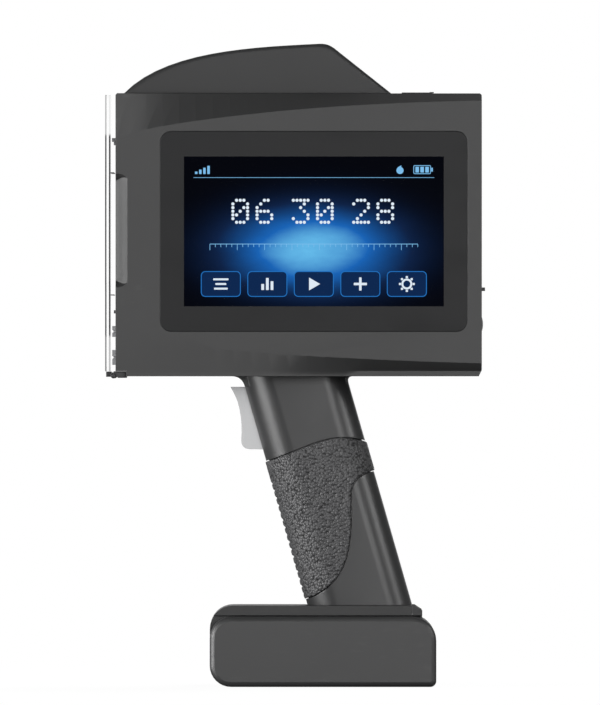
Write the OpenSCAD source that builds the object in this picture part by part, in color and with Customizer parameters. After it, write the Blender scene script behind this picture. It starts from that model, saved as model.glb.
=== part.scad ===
// Handheld pistol-grip date code printer, standing on its battery pack.
// Millimetres, +Z up. The print face looks along -X and the screen along -Y.

/* [Body] */
// Length of the housing, front to rear
body_len = 133.9; // [131:0.1:140]
// Height of the housing below the cartridge cover
body_h = 103.5; // [101:0.1:108]
// Depth of the housing across both shells
body_d = 64; // [62:0.5:70]
// Wall of the housing shells
wall = 3; // [2.6:0.1:3.4]
// Height of the swept bevel at the front of the top edge
sweep_drop = 15; // [8:0.5:18]
// Depth of the swept bevel behind the screen's middle
sweep_depth = 8; // [4:0.5:8.5]
// Height of the swept bevel along the bottom edge
skirt_rise = 14; // [8:0.1:15]
// Depth of the bottom bevel at the rear
skirt_depth = 5; // [2:0.5:5.5]
// Height of the set-back lip under the bottom bevel
skirt_lip = 2; // [1:0.1:2.6]
// Height of the finger scoop beside the guard
scoop_h = 41.5; // [30:0.5:46]
// Depth of the finger scoop at the front edge
scoop_depth = 3.8; // [2:0.1:4.6]

/* [Screen] */
// Thickness of the cover glass
glass_t = 1.5; // [1:0.1:1.6]
// Corner radius of the cover glass
glass_r = 4; // [2:0.5:6]
// Distance from the housing front to the glass
glass_front = 16.4; // [15:0.1:17]
// Distance from the glass to the housing rear
glass_rear = 5.3; // [4:0.1:7]
// Height of the glass above the housing bottom
glass_low = 16.4; // [15:0.1:17.5]
// Distance from the glass to the housing top
glass_high = 14; // [13:0.1:16]
// Dark border before and behind the picture
border_x = 8.6; // [7.6:0.1:12]
// Dark border above and below the picture
border_z = 9.15; // [8:0.05:12]
// Thickness of the display module
lcd_t = 2.9; // [2.4:0.1:3.4]

/* [Cartridge and cover] */
// Rise of the cover above the housing
cover_h = 18.4; // [17:0.1:20]
// Depth of the cover
cover_d = 36; // [35:0.5:38]
// Distance from the housing front to the cover
cover_front = 3; // [2.6:0.1:6]
// Distance from the cover to the housing rear
cover_rear = 33.1; // [33:0.1:37]
// Wall of the cover
cover_wall = 2; // [1.6:0.1:2.4]
// Length of the ink cartridge
cart_l = 66; // [60:0.5:68]
// Height of the ink cartridge
cart_h = 62; // [56:0.5:63]
// Width of the ink cartridge
cart_w = 25; // [22:0.5:26]
// Length of the clamp lever
clamp_l = 20; // [14:0.5:21]

/* [Guard and rollers] */
// Thickness of the clear guard
guard_t = 2; // [1.5:0.1:2.6]
// Air between the guard and the housing
guard_gap = 1.8; // [1.6:0.1:2.6]
// Width of the guard
guard_w = 60; // [57:0.5:62]
// Diameter of the guard hinge pin
guard_pin_d = 1.2; // [1:0.1:1.4]
// Radius of the guide rollers
roller_r = 5; // [4.4:0.1:5.4]
// Height of the upper guide roller
roller_top_h = 4; // [3:0.1:4.4]
// Height of the lower guide roller
roller_low_h = 5.5; // [4.5:0.1:5.8]
// Diameter of the roller shafts
shaft_d = 3; // [2.4:0.1:3.4]
// Distance between the roller shafts
shaft_span = 36; // [32:0.5:36.5]

/* [Handle] */
// Height of the handle between the foot and the housing
handle_h = 83.9; // [82:0.1:90]
// Lean of the handle from the vertical
handle_tilt = 16; // [14:0.5:17]
// Width of the handle square to its axis
handle_w = 36.9; // [35.5:0.1:40]
// Depth of the handle
handle_d = 33; // [32:0.5:36]
// Radius of the handle's front edges
handle_front_r = 11; // [8:0.5:11.5]
// Radius of the handle's rear edges
handle_rear_r = 9; // [6:0.5:9.5]
// Wall of the handle halves
handle_wall = 2.4; // [2.2:0.1:2.8]
// Thickness of the rubber grip
grip_t = 1.5; // [1.2:0.1:1.8]
// How far the rubber stands proud of the handle
grip_proud = 0.4; // [0.2:0.05:0.6]
// Distance between the finger ribs of the grip
rib_pitch = 2.8; // [2.4:0.1:4]
// Width of the trigger
trigger_w = 12; // [10:0.5:13]
// Height of the trigger
trigger_h = 23; // [21:0.5:23.5]
// Travel of the trigger
trigger_travel = 4.5; // [3:0.1:4.8]

/* [Battery and foot] */
// Length of the battery pack
batt_len = 82.8; // [82:0.1:89]
// Height of the battery pack
batt_h = 25.7; // [25:0.1:29]
// Depth of the battery pack
batt_d = 74; // [72:0.5:80]
// Wall of the battery case
batt_wall = 2.2; // [1.8:0.1:2.4]
// Visible height of the foot
foot_h = 3.9; // [3.4:0.1:5]
// Depth of the foot
foot_d = 56; // [54:0.5:60]
// Width of the guide channel in the pack
rail_w = 52.8; // [50:0.2:53]
// Depth of the guide channel in the pack
rail_drop = 7.7; // [7.2:0.1:8]
// Travel of the pack's release tab
latch_travel = 2.5; // [1.5:0.1:2.5]

/* [Buttons and fasteners] */
// Diameter of the power button
power_d = 6.6; // [5:0.1:7]
// How far the switch slider stands out
slider_out = 1.4; // [1:0.1:1.8]
// Length of the port flap
flap_l = 12; // [11:0.1:13]
// Width of the port flap
flap_w = 16; // [12:0.5:18]
// Diameter of the case screws
screw_d = 3; // [2.5:0.1:3]
// Diameter of the case screws' heads
screw_head_d = 5.4; // [5:0.1:5.6]

/* [Hidden] */
$fn = 48;
// Clearances: running fits, fixed seats, and moving parts beside fixed ones
fit_gap = 0.05;
seat_gap = 0.1;
move_gap = 0.4;
eps = 0.01;

// Main levels and ends
z_foot = batt_h + foot_h;
z_bot = z_foot + handle_h;
z_top = z_bot + body_h;
total_len = guard_t + guard_gap + body_len + slider_out;
x_guard = -total_len / 2;
x_front = x_guard + guard_t + guard_gap;
x_rear = x_front + body_len;
y_face = body_d / 2;

// Housing rims, panels and inner space
rim = 6;
panel_half = 25;
panel_t = 2.5;
panel_sink = 0.5;
panel_z0 = z_bot + wall;
panel_z1 = z_top - 7;
flange = 1.6;
x_in0 = x_front + rim;
x_in1 = x_rear - rim;
y_in = y_face - wall;
z_in1 = z_top - wall;
in_chamfer = 9;
seat_y = 2 * fit_gap;
sweep_start = 0.6;

// Screen stack, outside in
glass_l = body_len - glass_front - glass_rear;
glass_h = body_h - glass_low - glass_high;
view_l = glass_l - 2 * border_x;
view_h = glass_h - 2 * border_z;
glass_x = x_front + glass_front + glass_l / 2;
glass_z = z_bot + glass_low + glass_h / 2;
tape_t = 0.3;
lcd_l = view_l + 10.5;
lcd_h = view_h + 12.4;
lcd_y = -y_in;
board_gap = 3;
board_t = 1.6;
board_y = lcd_y + lcd_t + board_gap;
board_l = lcd_l + 4;
board_h = lcd_h + 8.6;
board_post = 2.2;
board_posts = [for (sx = [-1, 1], sz = [-1, 1])
    [glass_x + sx * (board_l / 2 - 2 * board_post), glass_z + sz * (board_h / 2 - board_post)]];

// Housing screws along Y, as X and Z of each axis
screw_head_h = 2;
boss_r = screw_head_d / 2 + 1.2;
boss_low = z_bot + wall + boss_r - 0.7;
boss_high = z_in1 - boss_r + 0.7;
case_screws = [
    [x_in0 + 14, boss_low],
    [x_front + 84, boss_low],
    [x_in1 - 5.6, boss_low],
    [x_in1 - 25, boss_high],
    [x_in1 - 5.6, boss_high]];

// Cartridge and its stall
stall_t = 2;
stall_z = z_bot + 29.5;
cart_x = x_front + panel_sink + panel_t + 1;
cart_z = stall_z + stall_t + seat_gap;
stall_x = x_front + panel_sink + panel_t;
stall_l = cart_l + 1 + seat_gap + stall_t;
nozzle_h = 16;
nozzle_w = 12;
contact_l = 12;
contact_w = 16;
contact_h = 4;

// Cartridge cover and its hinge
cover_x = x_front + cover_front;
cover_len = body_len - cover_front - cover_rear;
cover_z = z_top + seat_y;
cover_open = cart_w + 5;
hinge_r = 2.2;
hinge_pin_r = 1.1;
cover_hinge_y = cover_d / 2 + 3;
cover_hinge_z = z_top + hinge_r + move_gap;
hinge_span = 14;
hinge_xs = [cover_x + 16.5, cover_x + cover_len - 31.3];
clamp_pin_r = 1;
clamp_x = cover_x + cover_len - 12.8;
clamp_z = z_top + 2.6;
clamp_w = 14;

// Guard, its hinge and the guide rollers
pin_x = x_front - 0.75;
pin_z = z_bot + 0.3;
knuckle_r = guard_pin_d / 2 + 0.5;
guard_z0 = pin_z + knuckle_r + move_gap;
guard_z1 = z_top - 0.6;
bracket_l = 3.1;
bracket_w = guard_w - 4;
lug_w = 4;
roller_out = 1.3;
roller_x = x_front - roller_out + roller_r;
roller_top_z = z_bot + 16.4;
roller_low_z = z_bot + 6.9;
roller_gap = 0.5;
roller_block = roller_r + 1.6;
shaft_z0 = panel_z0 + 0.3;
shaft_z1 = roller_top_z + 9;
disc_r = 4.4;
disc_t = 1.2;
disc_z = shaft_z1 - 2.4;

// Handle frame, sleeve outline and trigger
handle_x = x_front + 65.35;
handle_floor = 8;
neck_l = 16;
neck_w = 16;
neck_t = 1.8;
tan_tilt = tan(handle_tilt);
half_flat = handle_w / 2 / cos(handle_tilt);
grip_groove = 0.35;
trigger_z1 = z_bot - 3.9;
trigger_z0 = trigger_z1 - trigger_h;
trigger_x = x_front + 41.85;
trigger_rear = trigger_x + 15.9;
spring_r = 2.4;
spring_wire = 0.5;
spring_z = trigger_z0 + 6;
spring_seat_x = trigger_rear + trigger_travel + 1.8;
switch_z = trigger_z1 - 7;
handle_screw_x = handle_w / 2 - 5.5;
handle_screw_zs = [-16, -42, -66];

// Battery pack and foot
batt_x = x_front + 34.45;
batt_x1 = batt_x + batt_len;
nose_r = 8.4;
nose_l = 8;
nose_z = 12;
rail_lip = 2.5;
rail_slot = rail_w - 12.8;
rail_floor = batt_h - rail_drop;
rail_end = batt_x1 - 4.7;
latch_l = 3.4;
latch_x = rail_end - move_gap - latch_l;
foot_x1 = latch_x - move_gap;
foot_screws_xy = [for (sx = [-10.5, 10.5], sy = [-8, 8]) [handle_at(z_foot) + sx, sy]];

function bez2(a, b, c, t) = (1 - t) * (1 - t) * a + 2 * t * (1 - t) * b + t * t * c;
function bez3(a, b, c, d, t) = (1 - t) * bez2(a, b, c, t) + t * bez2(b, c, d, t);
function arc(x, z, r, from, to, steps = 8) =
    [for (i = [0:steps]) let(a = from + (to - from) * i / steps) [x + r * cos(a), z + r * sin(a)]];

// Rectangle with its own radius at each corner, counter-clockwise from the lower left
function slab(x0, z0, x1, z1, r) = concat(
    arc(x0 + r[0], z0 + r[0], r[0], 180, 270),
    arc(x1 - r[1], z0 + r[1], r[1], 270, 360),
    arc(x1 - r[2], z1 - r[2], r[2], 0, 90),
    arc(x0 + r[3], z1 - r[3], r[3], 90, 180));

// Outline moved inwards by d; its points run counter-clockwise
function unit(v) = v / norm(v);
function inward(a, b) = let(u = unit(b - a)) [-u[1], u[0]];
function inset(pts, d) = [for (i = [0:len(pts) - 1])
    let(n = len(pts), p = pts[i], before = inward(pts[(i + n - 1) % n], p), after = inward(p, pts[(i + 1) % n]))
    p + d * (before + after) / (1 + before * after)];

// X of the handle's axis at a height
function handle_at(z) = handle_x + (z_bot - z) * tan_tilt;

// Place an X-Z outline across the depth from y0 to y1
module across(y0, y1) {
    translate([0, y1, 0]) rotate([90, 0, 0]) linear_extrude(height = y1 - y0) children();
}

// Place a Y-Z outline along the length from x0 to x1
module along(x0, x1) {
    translate([x0, 0, 0]) rotate([90, 0, 90]) linear_extrude(height = x1 - x0) children();
}

module block(x0, x1, y0, y1, z0, z1) {
    translate([x0, y0, z0]) cube([x1 - x0, y1 - y0, z1 - z0]);
}

// Round bar along Y
module bar_y(x, z, r, y0, y1) {
    translate([x, y1, z]) rotate([90, 0, 0]) cylinder(r = r, h = y1 - y0);
}

// Round bar along X
module bar_x(y, z, r, x0, x1) {
    translate([x0, y, z]) rotate([0, 90, 0]) cylinder(r = r, h = x1 - x0);
}

// Solid through a row of rings that have the same number of points
module loft(rings) {
    k = len(rings[0]);
    last = (len(rings) - 1) * k;
    walls = [for (i = [0:k:last - k], j = [0:k - 1]) let(n = (j + 1) % k)
        each [[i + j, i + k + n, i + n], [i + j, i + k + j, i + k + n]]];
    caps = [[for (j = [0:k - 1]) j], [for (j = [k - 1:-1:0]) last + j]];
    polyhedron([for (r = rings) each r], concat(walls, caps));
}

// Outline across the depth with its side edges rounded by r
module pillow(pts, half, r) {
    turns = [90, 60, 30, 0];
    loft([for (side = [1, -1], i = [0:3]) let(
        a = turns[side > 0 ? i : 3 - i],
        y = side * (half - r * (1 - sin(a))))
        [for (p = inset(pts, r * (1 - cos(a)))) [p[0], y, p[1]]]]);
}

// Housing: two shells that meet on the middle plane

module housing_outline() {
    corner = 0.6;
    notch_l = bracket_x + bracket_l + seat_gap - x_front;
    notch_h = bracket_z1 + seat_gap - z_bot;
    rear_cut = [1.1, 2.2];
    polygon([[x_front + notch_l, z_bot], [x_rear - rear_cut[0], z_bot], [x_rear, z_bot + rear_cut[1]],
        [x_rear, z_top - corner], [x_rear - corner, z_top], [x_front + corner, z_top],
        [x_front, z_top - corner], [x_front, z_bot + notch_h], [x_front + notch_l, z_bot + notch_h]]);
}

// Swept bevel from the screen face up to the top, shallow at the front
module top_sweep() {
    steps = 20;
    over = 0.2;
    loft([for (i = [-1:steps + 1]) let(
        t = i / steps,
        x = bez2(x_front, x_front + 55.8, x_rear, t),
        z = bez2(z_top - sweep_drop, z_top - 4, z_top - 2.6, t),
        depth = max(sweep_start, sweep_depth * sin(90 * min(1, t / 0.45))),
        slope = (z_top - z) / depth)
        [[x, -y_face - over, z - over * slope],
         [x, -y_face + depth + over, z_top + over * slope],
         [x, -y_face - over, z_top + over * slope]]]);
}

// Swept bevel along the bottom with its set-back lip
module bottom_sweep() {
    steps = 20;
    over = 0.2;
    loft([for (i = [-1:steps + 1]) let(
        t = i / steps,
        x = bez2(x_front, x_front + 60, x_rear, t),
        z = bez2(z_bot + skirt_rise, z_bot + 6.6, z_bot + 4.7, t),
        grow = max(0, min(1, (t - 0.36) / 0.4)),
        depth = max(sweep_start, skirt_depth * grow * grow * (3 - 2 * grow)),
        slope = (z - z_bot - skirt_lip) / depth)
        [[x, -y_face - over, z + over * slope],
         [x, -y_face - over, z_bot - 1],
         [x, -y_face + depth, z_bot - 1],
         [x, -y_face + depth, z_bot + skirt_lip]]]);
}

// Finger scoop at the front edge, a ramp that is deepest at the front and runs out on the face
module finger_scoop() {
    run = 4.3;
    ramp = 2.6;
    steps = 6;
    mid = z_bot + 53.3;
    loft([for (i = [-1:steps]) let(
        t = i / steps,
        x = x_front + run * t,
        depth = scoop_depth * (1 - t) + 0.02,
        half = scoop_h / 2 - 1.6 * t * t * t)
        [[x, -y_face - 1, mid - half - ramp / scoop_depth],
         [x, -y_face + depth, mid - half + ramp * depth / scoop_depth],
         [x, -y_face + depth, mid + half - ramp * depth / scoop_depth],
         [x, -y_face - 1, mid + half + ramp / scoop_depth]]]);
}

module panel_opening(x0, x1) {
    block(x0, x1, -panel_half, panel_half, panel_z0, panel_z1);
}

module housing_cavity() {
    z0 = z_bot + wall;
    along(x_in0, x_in1) polygon([
        [-y_in + in_chamfer, z0], [y_in - in_chamfer, z0], [y_in, z0 + in_chamfer],
        [y_in, z_in1 - in_chamfer], [y_in - in_chamfer, z_in1], [-y_in + in_chamfer, z_in1],
        [-y_in, z_in1 - in_chamfer], [-y_in, z0 + in_chamfer]]);
    panel_opening(x_front - 1, roller_x + roller_r + roller_gap);
    panel_opening(x_in1 - flange - move_gap, x_rear + 1);
    block(cover_x + 6.5, clamp_x - 4, -cover_open / 2, cover_open / 2, z_in1 - 1, z_top + 1);
    block(handle_x - neck_l / 2, handle_x + neck_l / 2, -neck_w / 2, neck_w / 2, z_bot - 1, z0 + 1);
}

// Shallow seat of the port flap and the hole for the port below it
flap_x = x_rear - 29.9;
flap_z = z_top + 0.5;
flap_t = 1.5;
flap_pin_r = 0.5;
flap_barrel = 0.8;
flap_back = 0.9;
flap_pin_x = flap_x + flap_barrel;
flap_pin_z = z_top - 0.6;
port_x = flap_x + flap_l / 2;
port_l = 3.4;
port_w = 9;
port_h = 7.5;
port_z = z_top - 1.9;
module flap_seat() {
    side = flap_w / 2 + move_gap;
    block(flap_x - flap_back, flap_x + flap_l + move_gap, -side, side, flap_z - flap_t - move_gap, z_top + 1);
    bar_y(flap_pin_x, flap_pin_z, flap_barrel + move_gap, -side, side);
    bar_y(flap_pin_x, flap_pin_z, flap_pin_r + fit_gap, -side - 1.6, side + 1.6);
    block(port_x - port_l / 2 - seat_gap, port_x + port_l / 2 + seat_gap,
        -port_w / 2 - seat_gap, port_w / 2 + seat_gap, z_in1 - 1, z_top);
}

module housing_solid() {
    difference() {
        across(-y_face, y_face) housing_outline();
        housing_cavity();
    }
}

module near_half() {
    block(x_front - 20, x_rear + 20, -batt_d, 0, -1, z_top + 40);
}

module far_half() {
    block(x_front - 20, x_rear + 20, 0, batt_d, -1, z_top + 40);
}

module left_housing() {
    color("#4d4e51") difference() {
        union() {
            intersection() {
                housing_solid();
                near_half();
            }
            for (p = case_screws) bar_y(p[0], p[1], boss_r, -y_in - wall / 3, 0);
            for (p = board_posts) bar_y(p[0], p[1], board_post - 0.2, -y_in - wall / 3, board_y - seat_gap);
            clamp_lugs(-1);
        }
        top_sweep();
        bottom_sweep();
        bar_y(clamp_x, clamp_z, clamp_pin_r + fit_gap, -clamp_w, 0);
        finger_scoop();
        flap_seat();
        glass_recess();
        across(-y_face, -y_in + 1) square_hole(view_l + 2, view_h + 2);
        for (p = case_screws) bar_y(p[0], p[1], screw_d / 2 + fit_gap, -screw_reach - 1, 1);
        for (p = board_posts) bar_y(p[0], p[1], board_screw_r + fit_gap, board_y - 5, board_y + 1);
    }
}

// Rectangle centred on the screen
module square_hole(l, h) {
    translate([glass_x - l / 2, glass_z - h / 2]) square([l, h]);
}

function glass_outline(grow) = slab(glass_x - glass_l / 2 - grow, glass_z - glass_h / 2 - grow,
    glass_x + glass_l / 2 + grow, glass_z + glass_h / 2 + grow, [for (i = [0:3]) glass_r + grow]);

module glass_recess() {
    across(-y_face - 1, -y_face + glass_t + tape_t) polygon(glass_outline(seat_gap));
}

// Screw length left of the middle plane and the depth of its head on the far side
screw_reach = 14;
head_y = y_face - 6;
board_screw_r = 0.9;
module right_housing() {
    color("#4a4b4e") difference() {
        union() {
            intersection() {
                housing_solid();
                far_half();
            }
            for (p = case_screws) bar_y(p[0], p[1], boss_r, 0, y_in + wall / 3);
            for (z = stall_posts) bar_y(stall_post_x, z, boss_r, stall_y + seat_gap, y_in + wall / 3);
            cover_knuckles(0, z_top - wall / 2);
            clamp_lugs(1);
        }
        mirror([0, 1, 0]) top_sweep();
        mirror([0, 1, 0]) bottom_sweep();
        bar_y(clamp_x, clamp_z, clamp_pin_r + fit_gap, 0, clamp_w);
        flap_seat();
        for (p = case_screws) {
            bar_y(p[0], p[1], screw_d / 2 + seat_gap, -1, head_y + 1);
            bar_y(p[0], p[1], screw_head_d / 2 + seat_gap, head_y - screw_head_h - seat_gap, y_face + 1);
        }
        bar_x(cover_hinge_y, cover_hinge_z, hinge_pin_r + fit_gap, cover_x, cover_x + cover_len);
    }
}

// Hinge barrels of one leaf: turn 0 belongs to the housing, turn 1 to the cover
module cover_knuckles(turn, z_root) {
    third = hinge_span / 3;
    for (x = hinge_xs, k = turn == 0 ? [0, 2] : [1]) {
        x0 = x + k * third + (turn == 0 ? 0 : move_gap);
        x1 = x + (k + 1) * third - (turn == 0 ? 0 : move_gap);
        bar_x(cover_hinge_y, cover_hinge_z, hinge_r, x0, x1);
        if (turn == 0) block(x0, x1, cover_hinge_y - 1.6, cover_hinge_y + 1.6, z_root, cover_hinge_z);
        else block(x0, x1, cover_d / 2 - cover_wall, cover_hinge_y,
            cover_hinge_z - 0.6, cover_hinge_z + hinge_r);
    }
}

// Hexagon socket sunk into a screw head whose face is at y
module hex_socket(x, z, y) {
    socket_r = 1.3;
    socket_deep = 1.2;
    translate([x, y + eps, z]) rotate([90, 0, 0]) cylinder(r = socket_r, h = socket_deep, $fn = 6);
}

module housing_screws() {
    color("#2b2b2d") for (p = case_screws) {
        bar_y(p[0], p[1], screw_d / 2, -screw_reach, head_y - screw_head_h + eps);
        difference() {
            bar_y(p[0], p[1], screw_head_d / 2, head_y - screw_head_h, head_y);
            hex_socket(p[0], p[1], head_y);
        }
    }
}

// End panels: trays that fill the front and rear openings, with flanges behind the rims

module panel_tray(x0, x1, x_hollow0, x_hollow1, x_flange0, x_flange1) {
    half = panel_half - seat_gap;
    difference() {
        union() {
            block(x0, x1, -half, half, panel_z0 + seat_gap, panel_z1 - seat_gap);
            block(x_flange0, x_flange1, -half - flange, half + flange,
                panel_z0 + in_chamfer, panel_z1 - in_chamfer);
        }
        block(x_hollow0, x_hollow1, -half + flange, half - flange,
            panel_z0 + flange, panel_z1 - flange);
    }
}

module front_panel() {
    x0 = x_front + panel_sink;
    y = shaft_span / 2;
    color("#3c3d40") difference() {
        union() {
            panel_tray(x0, x_in0 + flange, x0 + panel_t, x_in0 + flange + 1,
                x_in0 + seat_gap, x_in0 + flange);
            for (s = [-1, 1]) block(x0, roller_x + shaft_d / 2 + 2.2, s * y - roller_block,
                s * y + roller_block, panel_z0 + seat_gap, shaft_z1 + 0.6);
        }
        for (s = [-1, 1]) translate([roller_x, s * y, 0]) {
            roller_space(roller_top_z, roller_top_h, roller_r);
            roller_space(roller_low_z, roller_low_h, roller_r);
            translate([0, 0, panel_z0 - 1]) cylinder(r = shaft_d / 2 + fit_gap, h = shaft_z1 - panel_z0 + 3);
        }
        translate([roller_x, -y, 0]) roller_space(disc_z + disc_t / 2, disc_t, disc_r);
        block(x0 - 1, x0 + panel_t + 1, -nozzle_w / 2 - seat_gap, nozzle_w / 2 + seat_gap,
            nozzle_z - seat_gap, nozzle_z + nozzle_h + seat_gap);
    }
}

// Free space round a roller or disc, centred on its height
module roller_space(z, h, r) {
    translate([0, 0, z - h / 2 - roller_gap]) cylinder(r = r + roller_gap, h = h + 2 * roller_gap);
}

module roller(y, z, h) {
    groove = 0.5;
    translate([roller_x, y, z - h / 2]) difference() {
        cylinder(r = roller_r, h = h);
        translate([0, 0, -1]) cylinder(r = shaft_d / 2 + fit_gap, h = h + 2);
        translate([0, 0, h / 2]) rotate_extrude() translate([roller_r, 0]) circle(r = groove, $fn = 24);
    }
}

module shaft(y) {
    translate([roller_x, y, shaft_z0]) cylinder(r = shaft_d / 2, h = shaft_z1 - shaft_z0);
}

module near_rollers() {
    color("#8c8d90") {
        roller(-shaft_span / 2, roller_top_z, roller_top_h);
        roller(-shaft_span / 2, roller_low_z, roller_low_h);
    }
}

module near_roller_shaft() {
    color("#b9bbbe") shaft(-shaft_span / 2);
}

module far_rollers() {
    color("#8c8d90") {
        roller(shaft_span / 2, roller_top_z, roller_top_h);
        roller(shaft_span / 2, roller_low_z, roller_low_h);
    }
}

module far_roller_shaft() {
    color("#b9bbbe") shaft(shaft_span / 2);
}

// Slotted disc that the sensor reads as the near rollers turn
module encoder_disc() {
    slots = 12;
    color("#202124") translate([roller_x, -shaft_span / 2, disc_z]) difference() {
        cylinder(r = disc_r, h = disc_t);
        translate([0, 0, -1]) cylinder(r = shaft_d / 2 + fit_gap, h = disc_t + 2);
        for (a = [0:360 / slots:359]) rotate(a)
            translate([disc_r - 1.3, -0.3, -1]) cube([0.9, 0.6, disc_t + 2]);
    }
}

module encoder_sensor() {
    half = 3;
    x0 = roller_x + shaft_d / 2 + 2.2 + seat_gap;
    mid = disc_z + disc_t / 2;
    color("#1c1c1e") difference() {
        block(x0, x0 + 5, -shaft_span / 2 - half, -shaft_span / 2 + half, mid - 3, mid + 3);
        block(x0 - 1, roller_x + disc_r + move_gap, -shaft_span / 2 - half - 1, -shaft_span / 2 + half + 1,
            mid - disc_t / 2 - move_gap, mid + disc_t / 2 + move_gap);
    }
}

power_z = z_bot + 19.1;
slider_z = z_bot + 31.9;
rear_x = x_rear - 0.3;
slider_travel = 2.5;
slider_w = 3;
slider_h = 1.3;
button_travel = 0.7;
button_proud = 0.7;
module rear_panel() {
    half = slider_w / 2 + slider_travel / 2 + move_gap;
    color("#3c3d40") difference() {
        panel_tray(x_in1 - flange, rear_x, x_in1 - flange - 1, rear_x - panel_t,
            x_in1 - flange, x_in1 - seat_gap);
        bar_x(0, power_z, power_d / 2 + seat_gap, rear_x - panel_t - 1, rear_x + 1);
        block(rear_x - panel_t - 1, rear_x + 1, -half, half,
            slider_z - slider_h / 2 - seat_gap, slider_z + slider_h / 2 + seat_gap);
    }
}

// Domed push button with a collar that keeps it behind the panel
module power_button() {
    r = power_d / 2;
    dome_x = x_rear + button_proud;
    ball = 8;
    stem = rear_x - panel_t - move_gap;
    color("#5a5b5e") translate([stem, 0, power_z]) rotate([0, 90, 0]) rotate_extrude() union() {
        intersection() {
            translate([0, -0.5]) square([r, dome_x - stem + 0.5]);
            translate([0, dome_x - stem - ball]) circle(r = ball);
        }
        translate([0, -1.2]) square([r + 0.8, 1.2]);
    }
}

module power_switch() {
    x1 = rear_x - panel_t - move_gap - 1.2 - button_travel - move_gap;
    half = 5;
    color("#1c1c1e") union() {
        block(x1 - 6, x1, -half, half, power_z - half, power_z + half);
        for (s = [-1, 1]) block(x1 - 3, rear_x - panel_t - seat_gap, s * half - 0.7, s * half + 0.7,
            power_z - half, power_z + half);
    }
}

module switch_slider() {
    half = slider_w / 2;
    y = -slider_travel / 2;
    stem = rear_x - panel_t - move_gap;
    color("#1e1e20") union() {
        block(stem - 0.5, x_rear + slider_out, y - half, y + half,
            slider_z - slider_h / 2, slider_z + slider_h / 2);
        block(stem - 1.4, stem, y - half - 0.6, y + half + 0.6, slider_z - 1.6, slider_z + 1.6);
    }
}

module slide_switch() {
    x1 = rear_x - panel_t - move_gap - 1.4 - move_gap;
    half = 6;
    color("#8f9194") union() {
        block(x1 - 4, x1, -half, half, slider_z - 3, slider_z + 3);
        for (s = [-1, 1]) block(x1 - 2, rear_x - panel_t - seat_gap, s * half - 0.6, s * half + 0.6,
            slider_z - 3, slider_z + 3);
    }
}

// Screen stack

module touch_glass() {
    color("#2f3033") across(-y_face, -y_face + glass_t) polygon(glass_outline(0));
}

module glass_gasket() {
    color("#141416") across(-y_face + glass_t, -y_face + glass_t + tape_t) difference() {
        polygon(glass_outline(-0.3));
        square_hole(view_l + 3, view_h + 3);
    }
}

module display_module() {
    lip = 0.4;
    color("#10141c") union() {
        across(lcd_y + seat_gap, lcd_y + lcd_t) square_hole(lcd_l, lcd_h);
        across(lcd_y - lip, lcd_y + seat_gap + eps) square_hole(view_l, view_h);
    }
}

module main_board() {
    color("#1f5a3a") difference() {
        across(board_y, board_y + board_t) square_hole(board_l, board_h);
        for (p = board_posts) bar_y(p[0], p[1], board_screw_r + seat_gap, board_y - 1, board_y + board_t + 1);
    }
}

// Processor, memory, driver chips, coil and connectors on the board's inner face
plug_x = 8;
plug_drop = 27;
plug_h = 3.4;
module board_components() {
    y = board_y + board_t;
    chips = [[-18, 12, 16, 16, 1.4], [6, 14, 12, 9, 1.1], [28, 14, 9, 9, 1.2], [44, -18, 12, 7, 1.8],
        [30, -22, 12, 10, plug_h], [-34, -24, 20, 5, plug_h], [plug_x, -plug_drop, 14, 6, plug_h]];
    color("#26272a") for (c = chips)
        block(glass_x + c[0] - c[2] / 2, glass_x + c[0] + c[2] / 2, y, y + c[4],
            glass_z + c[1] - c[3] / 2, glass_z + c[1] + c[3] / 2);
}

module board_screws() {
    y = board_y + board_t;
    color("#b4b6b9") for (p = board_posts) {
        bar_y(p[0], p[1], board_screw_r, board_y - 4.5, y + eps);
        bar_y(p[0], p[1], board_screw_r * 1.9, y, y + 1.2);
    }
}

// Cartridge and stall

nozzle_z = cart_z + 8;
stall_y = cart_w / 2 + seat_gap + stall_t;
stall_post_x = stall_x + stall_l - 12;
stall_posts = [stall_z + 10, stall_z + cart_h - 8];
module cartridge_stall() {
    x1 = stall_x + stall_l;
    z1 = cart_z + cart_h - 4;
    color("#34353a") difference() {
        block(stall_x, x1, -stall_y, stall_y, stall_z, z1);
        block(stall_x - 1, x1 - stall_t, -stall_y + stall_t, stall_y - stall_t, stall_z + stall_t, z1 + 1);
        block(cart_x + 4 - seat_gap, cart_x + 4 + contact_l + seat_gap, -contact_w / 2 - seat_gap,
            contact_w / 2 + seat_gap, stall_z - 1, stall_z + stall_t + 1);
    }
}

module ink_cartridge() {
    cap = 3;
    corner = 4;
    color("#2a2b30") union() {
        across(-cart_w / 2, cart_w / 2) polygon(slab(cart_x, cart_z, cart_x + cart_l, cart_z + cart_h - cap,
            [0.5, corner, 1, 1]));
        across(-cart_w / 2 + 1, cart_w / 2 - 1) polygon(slab(cart_x + 2, cart_z + cart_h - cap - 1,
            cart_x + cart_l - 2, cart_z + cart_h, [0.5, 0.5, 2, 2]));
    }
}

module nozzle_plate() {
    row = 0.3;
    x0 = x_front + panel_sink + 0.1;
    color("#a8803a") difference() {
        block(x0, cart_x - seat_gap, -nozzle_w / 2, nozzle_w / 2, nozzle_z, nozzle_z + nozzle_h);
        for (s = [-1, 1]) block(x0 - 1, x0 + row, s * 1.5 - row, s * 1.5 + row,
            nozzle_z + 2, nozzle_z + nozzle_h - 2);
    }
}

module contact_block() {
    x0 = cart_x + 4;
    z1 = stall_z + stall_t;
    color("#1d1d20") union() {
        block(x0, x0 + contact_l, -contact_w / 2, contact_w / 2, z1 - contact_h, z1);
        block(x0 - 2, x0 + contact_l + 2, -contact_w / 2 - 1.5, contact_w / 2 + 1.5,
            z1 - contact_h, stall_z - seat_gap);
    }
}

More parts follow.
